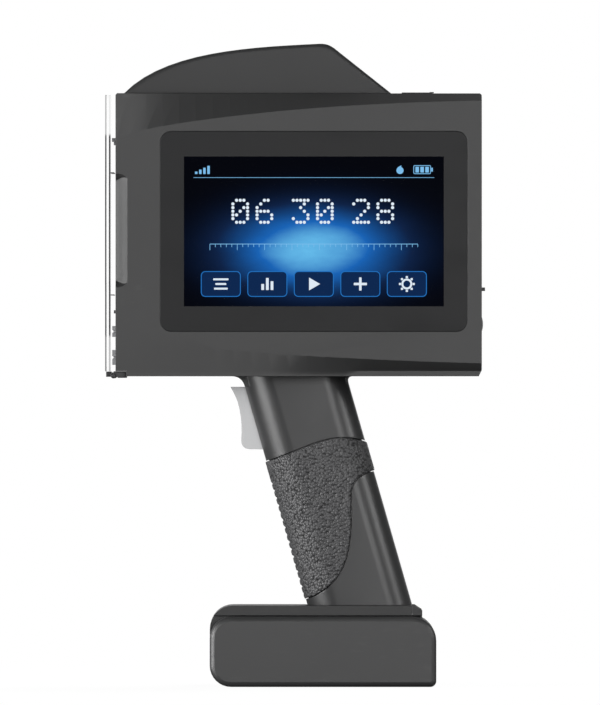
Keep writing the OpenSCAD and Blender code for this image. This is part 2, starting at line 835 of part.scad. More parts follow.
// Cartridge cover: arched hood with a straight rear slope, hinged along its far side

cover_peak = cover_len - 23.1;
cover_round = 3;
// Outer profile at skin 0, and the hollow below a skin of that thickness
function cover_outline(skin) = let(
    rise = cover_h - skin,
    start = [cover_x + 1.5 * skin, cover_z],
    end = [cover_x + cover_len - 1.6 * skin, cover_z],
    peak = [cover_x + cover_peak - 0.35 * skin, z_top + rise],
    slope = peak + cover_round * unit(end - peak),
    crown = peak + [-cover_round, -0.15])
    concat([start, end],
        [for (i = [0:6]) bez2(slope, peak, crown, i / 6)],
        [for (i = [1:13]) bez3(crown, start + [46, 0.92 * rise], start + [15, 0.84 * rise], start, i / 14)]);

module cartridge_cover() {
    edge = 1.5;
    skirt = [0, 2 * edge];
    outer = cover_outline(0);
    sides = [for (i = [1:len(outer) - 1]) outer[i]];
    profile = concat([outer[0] - skirt, outer[1] - skirt], sides, [outer[0]]);
    hollow = cover_outline(cover_wall);
    half = cover_d / 2 - cover_wall;
    color("#444548") difference() {
        union() {
            // The skirt is cut off square where the cover sits on the housing
            difference() {
                pillow(profile, cover_d / 2, edge);
                block(x_front, x_rear, -cover_d, cover_d, cover_z - 2 * skirt[1], cover_z);
            }
            cover_knuckles(1, 0);
        }
        across(-half, half) polygon(hollow);
        block(hollow[0][0], hollow[1][0], -half, half, cover_z - 1, cover_z + eps);
        bar_x(cover_hinge_y, cover_hinge_z, hinge_pin_r + fit_gap, cover_x, cover_x + cover_len);
    }
}

module cover_hinge_pin() {
    color("#b9bbbe") for (x = hinge_xs) bar_x(cover_hinge_y, cover_hinge_z, hinge_pin_r, x, x + hinge_span);
}

// Lever that holds the cartridge down, pivoting between lugs of the two shells
clamp_lug = 2.4;
clamp_lug_y = clamp_w / 2 + move_gap;
module clamp_lugs(side) {
    y0 = side > 0 ? clamp_lug_y : -clamp_lug_y - clamp_lug;
    block(clamp_x - clamp_lug, clamp_x + clamp_lug, y0, y0 + clamp_lug, z_top - 1, clamp_z);
    bar_y(clamp_x, clamp_z, clamp_lug, y0, y0 + clamp_lug);
}

module cartridge_clamp() {
    arm_t = 1.6;
    pad = 4;
    half = clamp_w / 2;
    tip = clamp_x - clamp_l;
    color("#6d6f73") difference() {
        union() {
            bar_y(clamp_x, clamp_z, clamp_lug - 0.2, -half, half);
            block(tip, clamp_x, -half, half, clamp_z - 0.4, clamp_z - 0.4 + arm_t);
            block(tip, tip + pad, -half, half, cart_z + cart_h + move_gap, clamp_z);
        }
        bar_y(clamp_x, clamp_z, clamp_pin_r + fit_gap, -half - 1, half + 1);
        block(tip - 1, clamp_x - 2 * clamp_lug, -half / 2, half / 2, clamp_z - pad, clamp_z + 2 * arm_t);
    }
}

module clamp_pin() {
    end = clamp_lug_y + clamp_lug;
    color("#b9bbbe") bar_y(clamp_x, clamp_z, clamp_pin_r, -end, end);
}

// Clear guard and its hinge

module clear_guard() {
    corner = 3;
    tab = 3;
    tab_z = z_bot + 52.2;
    half = guard_w / 2;
    color("#dfe6ea") along(x_guard, x_guard + guard_t) union() {
        polygon(slab(-half, guard_z0, half, guard_z1, [corner, corner, corner, corner]));
        polygon([[-half + 1, tab_z - 22.3], [-half + 1, tab_z + 22.3], [-half - tab, tab_z + 17.6],
            [-half - tab, tab_z - 17.6]]);
    }
}

leaf_gap = 0.4;
lug_ys = [-bracket_w / 2 + lug_w / 2, 0, bracket_w / 2 - lug_w / 2];
module guard_hinge_leaf() {
    leaf_t = 1.6;
    z1 = pin_z + knuckle_r;
    color("#2a2b2e") difference() {
        for (i = [0, 1]) {
            y0 = lug_ys[i] + lug_w / 2 + leaf_gap;
            y1 = lug_ys[i + 1] - lug_w / 2 - leaf_gap;
            bar_y(pin_x, pin_z, knuckle_r, y0, y1);
            block(x_guard + 0.3, pin_x, y0, y1, z1 - leaf_t, z1);
            block(x_guard + 0.3, x_guard + guard_t, y0, y1, z1 - eps, guard_z0 - seat_gap);
        }
        bar_y(pin_x, pin_z, guard_pin_d / 2 + fit_gap, -guard_w, guard_w);
    }
}

bracket_x = pin_x + knuckle_r + move_gap;
bracket_z1 = pin_z + knuckle_r + move_gap;
module guard_hinge_bracket() {
    color("#1d1d1f") difference() {
        union() {
            block(bracket_x, bracket_x + bracket_l, -bracket_w / 2, bracket_w / 2, z_bot - 0.6, bracket_z1);
            for (y = lug_ys) {
                bar_y(pin_x, pin_z, knuckle_r, y - lug_w / 2, y + lug_w / 2);
                block(pin_x, bracket_x + 1, y - lug_w / 2, y + lug_w / 2, pin_z - knuckle_r / 2, bracket_z1);
            }
        }
        bar_y(pin_x, pin_z, guard_pin_d / 2 + fit_gap, -guard_w, guard_w);
    }
}

module guard_hinge_pin() {
    color("#d0d2d4") bar_y(pin_x, pin_z, guard_pin_d / 2, -bracket_w / 2 - 0.3, bracket_w / 2 + 0.3);
}

// Small hooked catch on the front rim
module guard_catch() {
    reach = 1.3;
    z0 = z_top - 19;
    color("#55565a") across(-y_face + 2.5, -y_face + 6.5) polygon([[x_front, z0], [x_front, z0 + 2.6],
        [x_front - reach, z0 + 2.6], [x_front - reach, z0 + 1.2], [x_front - reach / 2, z0 + 1.2],
        [x_front - reach / 2, z0]]);
}

// Handle: two tilted halves with a collar below the housing

module on_handle() {
    translate([handle_x, 0, z_bot]) rotate([0, -handle_tilt, 0]) children();
}

module handle_section(grow) {
    w = handle_w / 2 + grow;
    d = handle_d / 2 + grow;
    rf = handle_front_r + grow;
    rr = handle_rear_r + grow;
    union() {
        for (s = [-1, 1]) {
            translate([rf - w, s * (d - rf)]) circle(r = rf);
            translate([w - rr, s * (d - rr)]) circle(r = rr);
        }
        translate([rf - w, -d]) square([2 * w - rf - rr, 2 * d]);
        translate([-w, rf - d]) square([rf, 2 * (d - rf)]);
        translate([w - rr, rr - d]) square([rr, 2 * (d - rr)]);
    }
}

module handle_bar(grow, z0, z1) {
    long = (z_bot - z_foot) / cos(handle_tilt) + 40;
    intersection() {
        on_handle() translate([0, 0, 20 - long]) linear_extrude(height = long) handle_section(grow);
        block(x_front, x_rear, -batt_d, batt_d, z0, z1);
    }
}

// Concave collar between the handle's edge and the housing; side -1 is the front
module collar(side, r) {
    x = handle_x + side * half_flat;
    low = x + r * tan_tilt;
    half = handle_d / 2 - handle_front_r + 6;
    back = 4;
    across(-half, half) polygon(concat([[x - side * back, z_bot]],
        [for (i = [0:6]) [bez2(x + side * r, x, low, i / 6), bez2(z_bot, z_bot, z_bot - r, i / 6)]],
        [[low - side * back, z_bot - r]]));
}

// Outline of the rubber grip: offsets from the handle's axis and heights above the foot
function grip_outline() = let(
    edge = half_flat + 2.5,
    rear_top = [edge, 59],
    rear_low = [edge, 49.8],
    turn = [7.7, 38.7],
    upper = [for (i = [0:12]) bez3(rear_top, [8, 65], [0, 58], [-edge, 51.8], i / 12)],
    lower = [for (i = [0:10]) bez3([-edge, 1.6], [1, 7.2], [4.2, 27], turn, i / 10)],
    elbow = [for (i = [1:6]) bez2(turn, [9.5, 48.5], rear_low, i / 6)])
    [for (p = concat(upper, lower, elbow)) [handle_at(z_foot + p[1]) + p[0], z_foot + p[1]]];

grip_seat = grip_t - grip_proud;
module grip_pocket() {
    difference() {
        across(-handle_d, handle_d) polygon(inset(grip_outline(), -grip_groove));
        handle_bar(-grip_seat, z_foot - 1, z_bot + 1);
    }
}

module handle_shell() {
    roof = 3;
    cell_z0 = z_foot + handle_floor;
    lip = 0.8;
    neck_z = z_bot + wall + 2.6;
    half_l = neck_l / 2 - seat_gap;
    half_w = neck_w / 2 - seat_gap;
    difference() {
        union() {
            handle_bar(0, z_foot, z_bot);
            collar(-1, 3.8);
            collar(1, 2.4);
            block(handle_x - half_l, handle_x + half_l, -half_w, half_w, z_bot - 1, neck_z);
            block(handle_x - half_l - lip, handle_x + half_l + lip, -half_w, half_w,
                z_bot + wall + seat_gap, neck_z - 1);
        }
        grip_pocket();
        difference() {
            handle_bar(-handle_wall - grip_seat, cell_z0, z_bot - roof);
            spring_seat();
            switch_shelf();
            handle_bosses();
        }
        block(handle_x - half_l + neck_t, handle_x + half_l - neck_t, -half_w + neck_t, half_w - neck_t,
            z_bot - roof - 1, neck_z + 1);
        block(x_front, trigger_rear, -trigger_w / 2 - move_gap, trigger_w / 2 + move_gap,
            trigger_z0 - move_gap, trigger_z1 + move_gap);
        for (p = foot_screws_xy) translate([p[0], p[1], z_foot - 1])
            cylinder(r = screw_d / 2 + fit_gap, h = handle_floor);
        translate([handle_at(z_foot), 0, z_foot - 1]) cylinder(r = harness_r + 1.5, h = handle_floor + 4);
        on_handle() for (z = handle_screw_zs) bar_y(handle_screw_x, z, screw_d / 2 + fit_gap, -9, handle_d);
    }
}

// Rib behind the trigger that carries its spring
module spring_seat() {
    block(spring_seat_x, spring_seat_x + 2.4, -handle_d, handle_d, spring_z - 4, spring_z + 4);
}

// Shelf across both halves under the trigger switch
switch_x = trigger_rear + trigger_travel + move_gap;
switch_l = 7;
switch_h = 6.4;
switch_w = 6.4;
module switch_shelf() {
    z1 = switch_z - switch_h / 2;
    block(switch_x + 1, switch_x + switch_l, -handle_d, handle_d, z1 - 2.2, z1);
}

module handle_bosses() {
    on_handle() for (z = handle_screw_zs) bar_y(handle_screw_x, z, boss_r, -handle_d, handle_d);
}

handle_head_y = handle_d / 2 - 4.6;
module handle_left_half() {
    color("#505154") intersection() {
        handle_shell();
        near_half();
    }
}

module handle_right_half() {
    color("#505154") difference() {
        intersection() {
            handle_shell();
            far_half();
        }
        on_handle() for (z = handle_screw_zs) bar_y(handle_screw_x, z, screw_head_d / 2 + seat_gap,
            handle_head_y - screw_head_h - seat_gap, handle_d);
    }
}

module handle_screws() {
    color("#2b2b2d") on_handle() for (z = handle_screw_zs) {
        bar_y(handle_screw_x, z, screw_d / 2, -8, handle_head_y - screw_head_h + eps);
        difference() {
            bar_y(handle_screw_x, z, screw_head_d / 2, handle_head_y - screw_head_h, handle_head_y);
            hex_socket(handle_screw_x, z, handle_head_y);
        }
    }
}

// Rubber overmould with finger ribs down its front
module grip_sleeve() {
    rib_depth = 0.6;
    rib_h = 1;
    half = handle_d / 2 - handle_front_r + 5;
    front = handle_w / 2 + grip_proud;
    rib_run = 50;
    rib_top = -36;
    ribs = floor(rib_run / rib_pitch);
    color("#3f4043") difference() {
        intersection() {
            difference() {
                handle_bar(grip_proud, z_foot + 0.3, z_bot);
                handle_bar(-grip_seat + fit_gap, z_foot - 1, z_bot + 1);
            }
            across(-handle_d, handle_d) polygon(grip_outline());
        }
        on_handle() for (i = [0:ribs - 1])
            block(-front - 1, -front + rib_depth, -half, half,
                rib_top - i * rib_pitch, rib_top - i * rib_pitch + rib_h);
    }
}

// Trigger group

module trigger() {
    wing = 1.5;
    wing_low = 7;
    wing_high = 3;
    top = [trigger_x, trigger_z1];
    chin = [trigger_x + 4, trigger_z0 + 3.4];
    front = [for (i = [0:8]) bez2(top, [trigger_x + 4.9, trigger_z1 - 7], chin, i / 8)];
    toe = [trigger_x + 7, trigger_z0 + 0.2];
    lip = [for (i = [1:4]) bez2(chin, [trigger_x + 3.9, trigger_z0 + 0.4], toe, i / 4)];
    back = [[trigger_rear, trigger_z0], [trigger_rear, trigger_z1]];
    half = trigger_w / 2;
    color("#c3c4c6") union() {
        across(-half, half) polygon(concat(front, lip, back));
        block(trigger_rear - wing, trigger_rear, -half - wing, half + wing,
            trigger_z0 + wing_low, trigger_z1 - wing_high);
    }
}

module hollow_spring(r, l) {
    difference() {
        cylinder(r = r, h = l);
        translate([0, 0, -1]) cylinder(r = r - spring_wire, h = l + 2);
    }
}

module trigger_spring() {
    color("#a9abae") translate([trigger_rear + seat_gap, 0, spring_z]) rotate([0, 90, 0])
        hollow_spring(spring_r, spring_seat_x - trigger_rear - 2 * seat_gap);
}

module trigger_switch() {
    z0 = switch_z - switch_h / 2 + seat_gap;
    color("#1c1c1e") union() {
        block(switch_x + 1, switch_x + switch_l, -switch_w / 2, switch_w / 2, z0, z0 + switch_h);
        bar_x(0, switch_z, 1.2, switch_x, switch_x + 1.5);
    }
}

// Foot: plate under the handle with a rail and a rounded nose

harness_r = 1.6;
foot_z0 = batt_h + 0.3;
rail_z0 = rail_floor + 0.6;
terminal_x = batt_x + 56.8;
terminal_l = 12;
terminal_w = 4;
terminal_ys = [-9, 9];
head_pocket = 3;
module battery_foot() {
    half = rail_w / 2 - move_gap;
    nose_x = batt_x + nose_l;
    bow = arc(batt_x + nose_r, z_foot - nose_r, nose_r, 90, 180);
    color("#3e3f42") difference() {
        union() {
            across(-foot_d / 2, foot_d / 2) intersection() {
                polygon(concat(bow, [[batt_x, nose_z], [foot_x1, nose_z], [foot_x1, z_foot]]));
                translate([batt_x, foot_z0]) square([foot_x1 - batt_x, foot_h]);
            }
            across(-half, half) polygon(concat(bow, [[batt_x, nose_z], [nose_x, nose_z], [nose_x, z_foot]]));
            block(nose_x - 1, foot_x1, -rail_slot / 2 + move_gap, rail_slot / 2 - move_gap,
                rail_z0, foot_z0 + 1);
            block(nose_x - 1, foot_x1, -half, half, rail_z0, batt_h - rail_lip - move_gap);
        }
        for (s = [-1, 1]) bar_x(s * cap_y, cap_z, cap_peg_r + fit_gap, foot_x1 - cap_peg_l - 1, foot_x1 + 1);
        for (p = foot_screws_xy) translate([p[0], p[1], rail_z0 - 1]) {
            cylinder(r = screw_d / 2 + seat_gap, h = z_foot - rail_z0 + 2);
            cylinder(r = screw_head_d / 2 + seat_gap, h = head_pocket + 1);
        }
        translate([handle_at(z_foot), 0, rail_z0 - 1]) cylinder(r = harness_r + 1.5, h = z_foot);
        for (y = terminal_ys) block(terminal_x - seat_gap, terminal_x + terminal_l + seat_gap,
            y - terminal_w / 2 - seat_gap, y + terminal_w / 2 + seat_gap, rail_z0 - 1, rail_z0 + 1);
    }
}

// Chamfered end caps beside the release tab, pegged into the foot
cap_peg_r = 1;
cap_peg_l = 4;
cap_y = (rail_slot + foot_d) / 4;
cap_z = (foot_z0 + z_foot) / 2;
module foot_end_caps() {
    end = latch_x + latch_l;
    cut = [2.6, 1.7];
    half = (foot_d - rail_slot) / 4;
    x0 = foot_x1 + seat_gap;
    color("#3e3f42") for (s = [-1, 1]) {
        across(s * cap_y - half, s * cap_y + half) polygon([[x0, foot_z0], [end, foot_z0],
            [end, z_foot - cut[1]], [end - cut[0], z_foot], [x0, z_foot]]);
        bar_x(s * cap_y, cap_z, cap_peg_r, foot_x1 - cap_peg_l, x0 + eps);
    }
}

module foot_terminals() {
    color("#c9a24a") for (y = terminal_ys) block(terminal_x, terminal_x + terminal_l,
        y - terminal_w / 2, y + terminal_w / 2, rail_floor + move_gap, rail_z0 + 1 - seat_gap);
}

module foot_screws() {
    z0 = rail_z0 + head_pocket - screw_head_h;
    color("#2b2b2d") for (p = foot_screws_xy) translate([p[0], p[1], 0]) {
        translate([0, 0, z0]) cylinder(r = screw_head_d / 2, h = screw_head_h - seat_gap);
        translate([0, 0, z0]) cylinder(r = screw_d / 2, h = z_foot + handle_floor - 2 - z0);
    }
}

// Battery pack: rounded case that slides on the rail from behind

batt_radii = [7.8, 2.2, 8.8, 8];
batt_edge = 1.8;
batt_screws = [[batt_x + 16.8, 9], [batt_x1 - 7.2, 9]];
batt_head_y = batt_d / 2 - 3;
module battery_case() {
    cell_x0 = batt_x + nose_l + 3;
    cell_half = batt_d / 2 - batt_wall;
    difference() {
        pillow(slab(batt_x, 0, batt_x1, batt_h, batt_radii), batt_d / 2, batt_edge);
        difference() {
            block(cell_x0, batt_x1 - batt_wall, -cell_half, cell_half, batt_wall, rail_floor - batt_wall);
            for (p = batt_screws) bar_y(p[0], p[1], boss_r, -batt_d, batt_d);
        }
        block(batt_x - 1, batt_x + nose_l + move_gap, -rail_w / 2, rail_w / 2, nose_z - move_gap, batt_h + 1);
        block(batt_x, rail_end, -rail_w / 2, rail_w / 2, rail_floor, batt_h - rail_lip);
        block(batt_x, rail_end, -rail_slot / 2, rail_slot / 2, rail_floor, batt_h + 1);
        for (y = terminal_ys) block(terminal_x - seat_gap, terminal_x + terminal_l + seat_gap,
            y - terminal_w / 2 - seat_gap, y + terminal_w / 2 + seat_gap, rail_floor - 1.5, rail_floor + 1);
        for (p = batt_screws) bar_y(p[0], p[1], screw_d / 2 + fit_gap, -screw_reach - 1, batt_d);
    }
}

module battery_left_case() {
    color("#525356") intersection() {
        battery_case();
        near_half();
    }
}

module battery_right_case() {
    color("#525356") difference() {
        intersection() {
            battery_case();
            far_half();
        }
        for (p = batt_screws)
            bar_y(p[0], p[1], screw_head_d / 2 + seat_gap, batt_head_y - screw_head_h - seat_gap, batt_d);
    }
}

module battery_case_screws() {
    color("#2b2b2d") for (p = batt_screws) {
        bar_y(p[0], p[1], screw_d / 2, -screw_reach, batt_head_y - screw_head_h + eps);
        difference() {
            bar_y(p[0], p[1], screw_head_d / 2, batt_head_y - screw_head_h, batt_head_y);
            hex_socket(p[0], p[1], batt_head_y);
        }
    }
}

// Two flat cells side by side on the floor of the case
module battery_cells() {
    x0 = batt_screws[0][0] + boss_r + 0.5;
    x1 = batt_screws[1][0] - boss_r - 0.5;
    half = batt_d / 2 - batt_wall - 0.5;
    r = 2;
    color("#3b6ea5") for (y = [-half, 0.3]) across(y, y + half - 0.3)
        polygon(slab(x0, batt_wall + seat_gap, x1, rail_floor - batt_wall - 0.5, [r, r, r, r]));
}

module battery_terminals() {
    color("#c9a24a") for (y = terminal_ys) block(terminal_x, terminal_x + terminal_l,
        y - terminal_w / 2, y + terminal_w / 2, rail_floor - 1.5 + seat_gap, rail_floor);
}

// Sprung release tab behind the foot, held under the lips of the channel
latch_z0 = rail_floor + latch_travel + 0.5;
module battery_latch() {
    half = rail_slot / 2 - move_gap;
    wing = rail_w / 2 - move_gap;
    x1 = latch_x + latch_l;
    z1 = z_foot - 0.7;
    cut = 1.4;
    color("#3e3f42") union() {
        across(-half, half) polygon([[latch_x, latch_z0], [x1, latch_z0], [x1, z1 - cut], [x1 - cut, z1],
            [latch_x, z1]]);
        block(latch_x, x1, -wing, wing, latch_z0, batt_h - rail_lip - move_gap);
    }
}

module latch_spring() {
    color("#a9abae") for (y = [-10, 10]) translate([latch_x + latch_l / 2, y, rail_floor])
        hollow_spring(latch_l / 2, latch_z0 - rail_floor - seat_gap);
}

// Battery lead through the handle up to the board

harness_route = [
    [handle_at(z_foot), 0, rail_z0 + 2],
    [handle_at(z_foot), 0, z_foot + handle_floor + 1],
    [handle_at(z_foot + 26), 0, z_foot + 26],
    [handle_at(z_foot + 50) + 1, 0, z_foot + 50],
    [handle_x + 9.8, 0, z_bot - 12],
    [handle_x + 3.4, 0, z_bot - 2],
    [handle_x + 1, 0, z_bot + 9],
    [handle_x + 6, -6, z_bot + 17],
    [glass_x + plug_x, -12, glass_z - plug_drop],
    [glass_x + plug_x, board_y + board_t + plug_h + 0.6, glass_z - plug_drop]];
function spline(p, i, t) = let(
    n = len(p) - 1,
    a = p[max(0, i - 1)],
    b = p[i],
    c = p[min(n, i + 1)],
    d = p[min(n, i + 2)])
    0.5 * (2 * b + (c - a) * t + (2 * a - 5 * b + 4 * c - d) * t * t + (3 * b - a - 3 * c + d) * t * t * t);
module battery_harness() {
    sides = 8;
    steps = 3;
    last = len(harness_route) - 1;
    path = concat([for (i = [0:last - 1], k = [0:steps - 1]) spline(harness_route, i, k / steps)],
        [harness_route[last]]);
    color("#1a1a1c") loft([for (i = [0:len(path) - 1]) let(
        ahead = unit(path[min(i + 1, len(path) - 1)] - path[max(i - 1, 0)]),
        u = unit(cross(ahead, [1, 0, 0])),
        v = cross(ahead, u))
        [for (k = [0:sides - 1]) path[i] + harness_r * (cos(360 * k / sides) * u - sin(360 * k / sides) * v)]]);
}

// Port flap on the top and the data port below it

module port_flap() {
    half = flap_w / 2;
    lip = 0.5;
    end = flap_x + flap_l;
    color("#2c2d30") difference() {
        union() {
            bar_y(flap_pin_x, flap_pin_z, flap_barrel, -half, half);
            block(flap_pin_x, end, -half, half, flap_z - flap_t, flap_z);
            block(end - 1, end + lip, -half / 2, half / 2, flap_z - 0.15, flap_z + 0.2);
        }
        bar_y(flap_pin_x, flap_pin_z, flap_pin_r + fit_gap, -flap_w, flap_w);
    }
}

module flap_hinge_pin() {
    end = flap_w / 2 + move_gap + 1.5;
    color("#b9bbbe") bar_y(flap_pin_x, flap_pin_z, flap_pin_r, -end, end);
}

module usb_port() {
    skin = 0.4;
    l = port_l / 2;
    w = port_w / 2;
    color("#aeb0b3") union() {
        difference() {
            block(port_x - l, port_x + l, -w, w, port_z - port_h, port_z);
            block(port_x - l + skin, port_x + l - skin, -w + skin, w - skin, port_z - port_h + 2, port_z + 1);
        }
        block(port_x - 0.4, port_x + 0.4, -w + 1.2, w - 1.2, port_z - port_h + 1, port_z - 0.8);
    }
}

left_housing();
right_housing();
front_panel();
rear_panel();
touch_glass();
glass_gasket();
display_module();
main_board();
board_components();
board_screws();
cartridge_stall();
ink_cartridge();
nozzle_plate();
contact_block();
cartridge_cover();
cover_hinge_pin();
cartridge_clamp();
clamp_pin();
housing_screws();
handle_left_half();
handle_right_half();
grip_sleeve();
handle_screws();
trigger();
trigger_spring();
trigger_switch();
battery_foot();
foot_end_caps();
foot_terminals();
foot_screws();
battery_left_case();
battery_right_case();
battery_cells();
battery_terminals();
battery_case_screws();
battery_latch();
latch_spring();
battery_harness();
clear_guard();
guard_hinge_leaf();
guard_hinge_bracket();
guard_hinge_pin();
guard_catch();
near_rollers();
near_roller_shaft();
encoder_disc();
encoder_sensor();
far_rollers();
far_roller_shaft();
power_button();
power_switch();
switch_slider();
slide_switch();
port_flap();
flap_hinge_pin();
usb_port();
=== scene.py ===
"""Looks of a handheld date code printer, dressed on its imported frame.

The screen side faces -Y, the print face -X, and the battery pack stands on Z = 0. Sizes are in metres.
"""

from __future__ import annotations

import logging
import math
from dataclasses import dataclass, field
from enum import Enum
from functools import cached_property
from typing import Callable, Sequence, Union

import bpy
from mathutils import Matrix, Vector

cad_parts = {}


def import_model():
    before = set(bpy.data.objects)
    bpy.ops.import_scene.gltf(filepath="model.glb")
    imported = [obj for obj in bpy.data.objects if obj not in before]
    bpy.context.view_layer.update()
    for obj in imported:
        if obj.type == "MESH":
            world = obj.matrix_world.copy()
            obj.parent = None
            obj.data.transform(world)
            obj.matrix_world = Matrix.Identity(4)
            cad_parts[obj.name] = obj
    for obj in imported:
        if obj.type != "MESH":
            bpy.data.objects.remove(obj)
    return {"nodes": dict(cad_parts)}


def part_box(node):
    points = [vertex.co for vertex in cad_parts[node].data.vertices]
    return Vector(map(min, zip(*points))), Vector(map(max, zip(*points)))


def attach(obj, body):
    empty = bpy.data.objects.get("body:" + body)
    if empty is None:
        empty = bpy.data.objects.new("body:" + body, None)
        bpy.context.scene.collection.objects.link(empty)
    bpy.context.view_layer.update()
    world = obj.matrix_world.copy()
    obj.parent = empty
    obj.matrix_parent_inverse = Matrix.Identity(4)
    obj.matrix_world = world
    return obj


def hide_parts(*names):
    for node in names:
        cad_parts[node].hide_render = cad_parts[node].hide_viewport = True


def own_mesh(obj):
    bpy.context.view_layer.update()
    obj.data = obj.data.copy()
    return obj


LOG = logging.getLogger("printer")
MM = 0.001
UPRIGHT = (math.pi / 2, 0.0, 0.0)
SAME_POINT = 1e-6
SQUARE_FACE = 0.99995
CREASE = math.radians(42.0)
WHITE = (1.0, 1.0, 1.0, 1.0)
Colour = tuple[float, float, float]
Span = tuple[float, float]
Piece = bpy.types.Object
Key = Union[str, int]
Feed = Union[float, Sequence[float], "Wire"]


class Axis(Enum):
    """Axes by their place in a vector."""

    X = 0
    Y = 1
    Z = 2


class Body(Enum):
    """Moving groups that new pieces ride on."""

    PRINTER = "printer"
    GUARD = "guard_assembly"
    COVER = "cover"
    TRIGGER = "trigger_lever"
    PACK = "battery_pack"


def math_method(operation: str, last: bool = False) -> Callable[..., "Wire"]:
    """Makes a method of Wire that adds one Math node.

    Args:
        operation: Blender's name of the operation.
        last: Whether the wire is the second value of the two.

    Returns:
        The method, which takes the other value where there is one.
    """
    def method(wire: "Wire", other: Feed = 0.0) -> "Wire":
        """Adds the node."""
        pair = (other, wire) if last else (wire, other)
        return wire.graph.node("Math", dict(enumerate(pair)), operation=operation)
    return method


class Wire:
    """A shader output whose arithmetic adds Math nodes."""

    __add__ = __radd__ = math_method("ADD")
    __sub__ = math_method("SUBTRACT")
    __rsub__ = math_method("SUBTRACT", last=True)
    __mul__ = __rmul__ = math_method("MULTIPLY")
    __truediv__ = math_method("DIVIDE")
    __abs__ = math_method("ABSOLUTE")
    root = math_method("SQRT")
    exp = math_method("EXPONENT")
    least = math_method("MINIMUM")
    most = math_method("MAXIMUM")

    def __init__(self, graph: "Graph", socket: bpy.types.NodeSocket) -> None:
        """Keeps the graph and the socket it stands for."""
        self.graph = graph
        self.socket = socket

    def step(self, low: float, high: float) -> "Wire":
        """Smooth rise from 0 at low to 1 at high, which may lie below low."""
        ends = {"Value": self, "From Min": low, "From Max": high}
        return self.graph.node("MapRange", ends, interpolation_type="SMOOTHSTEP")


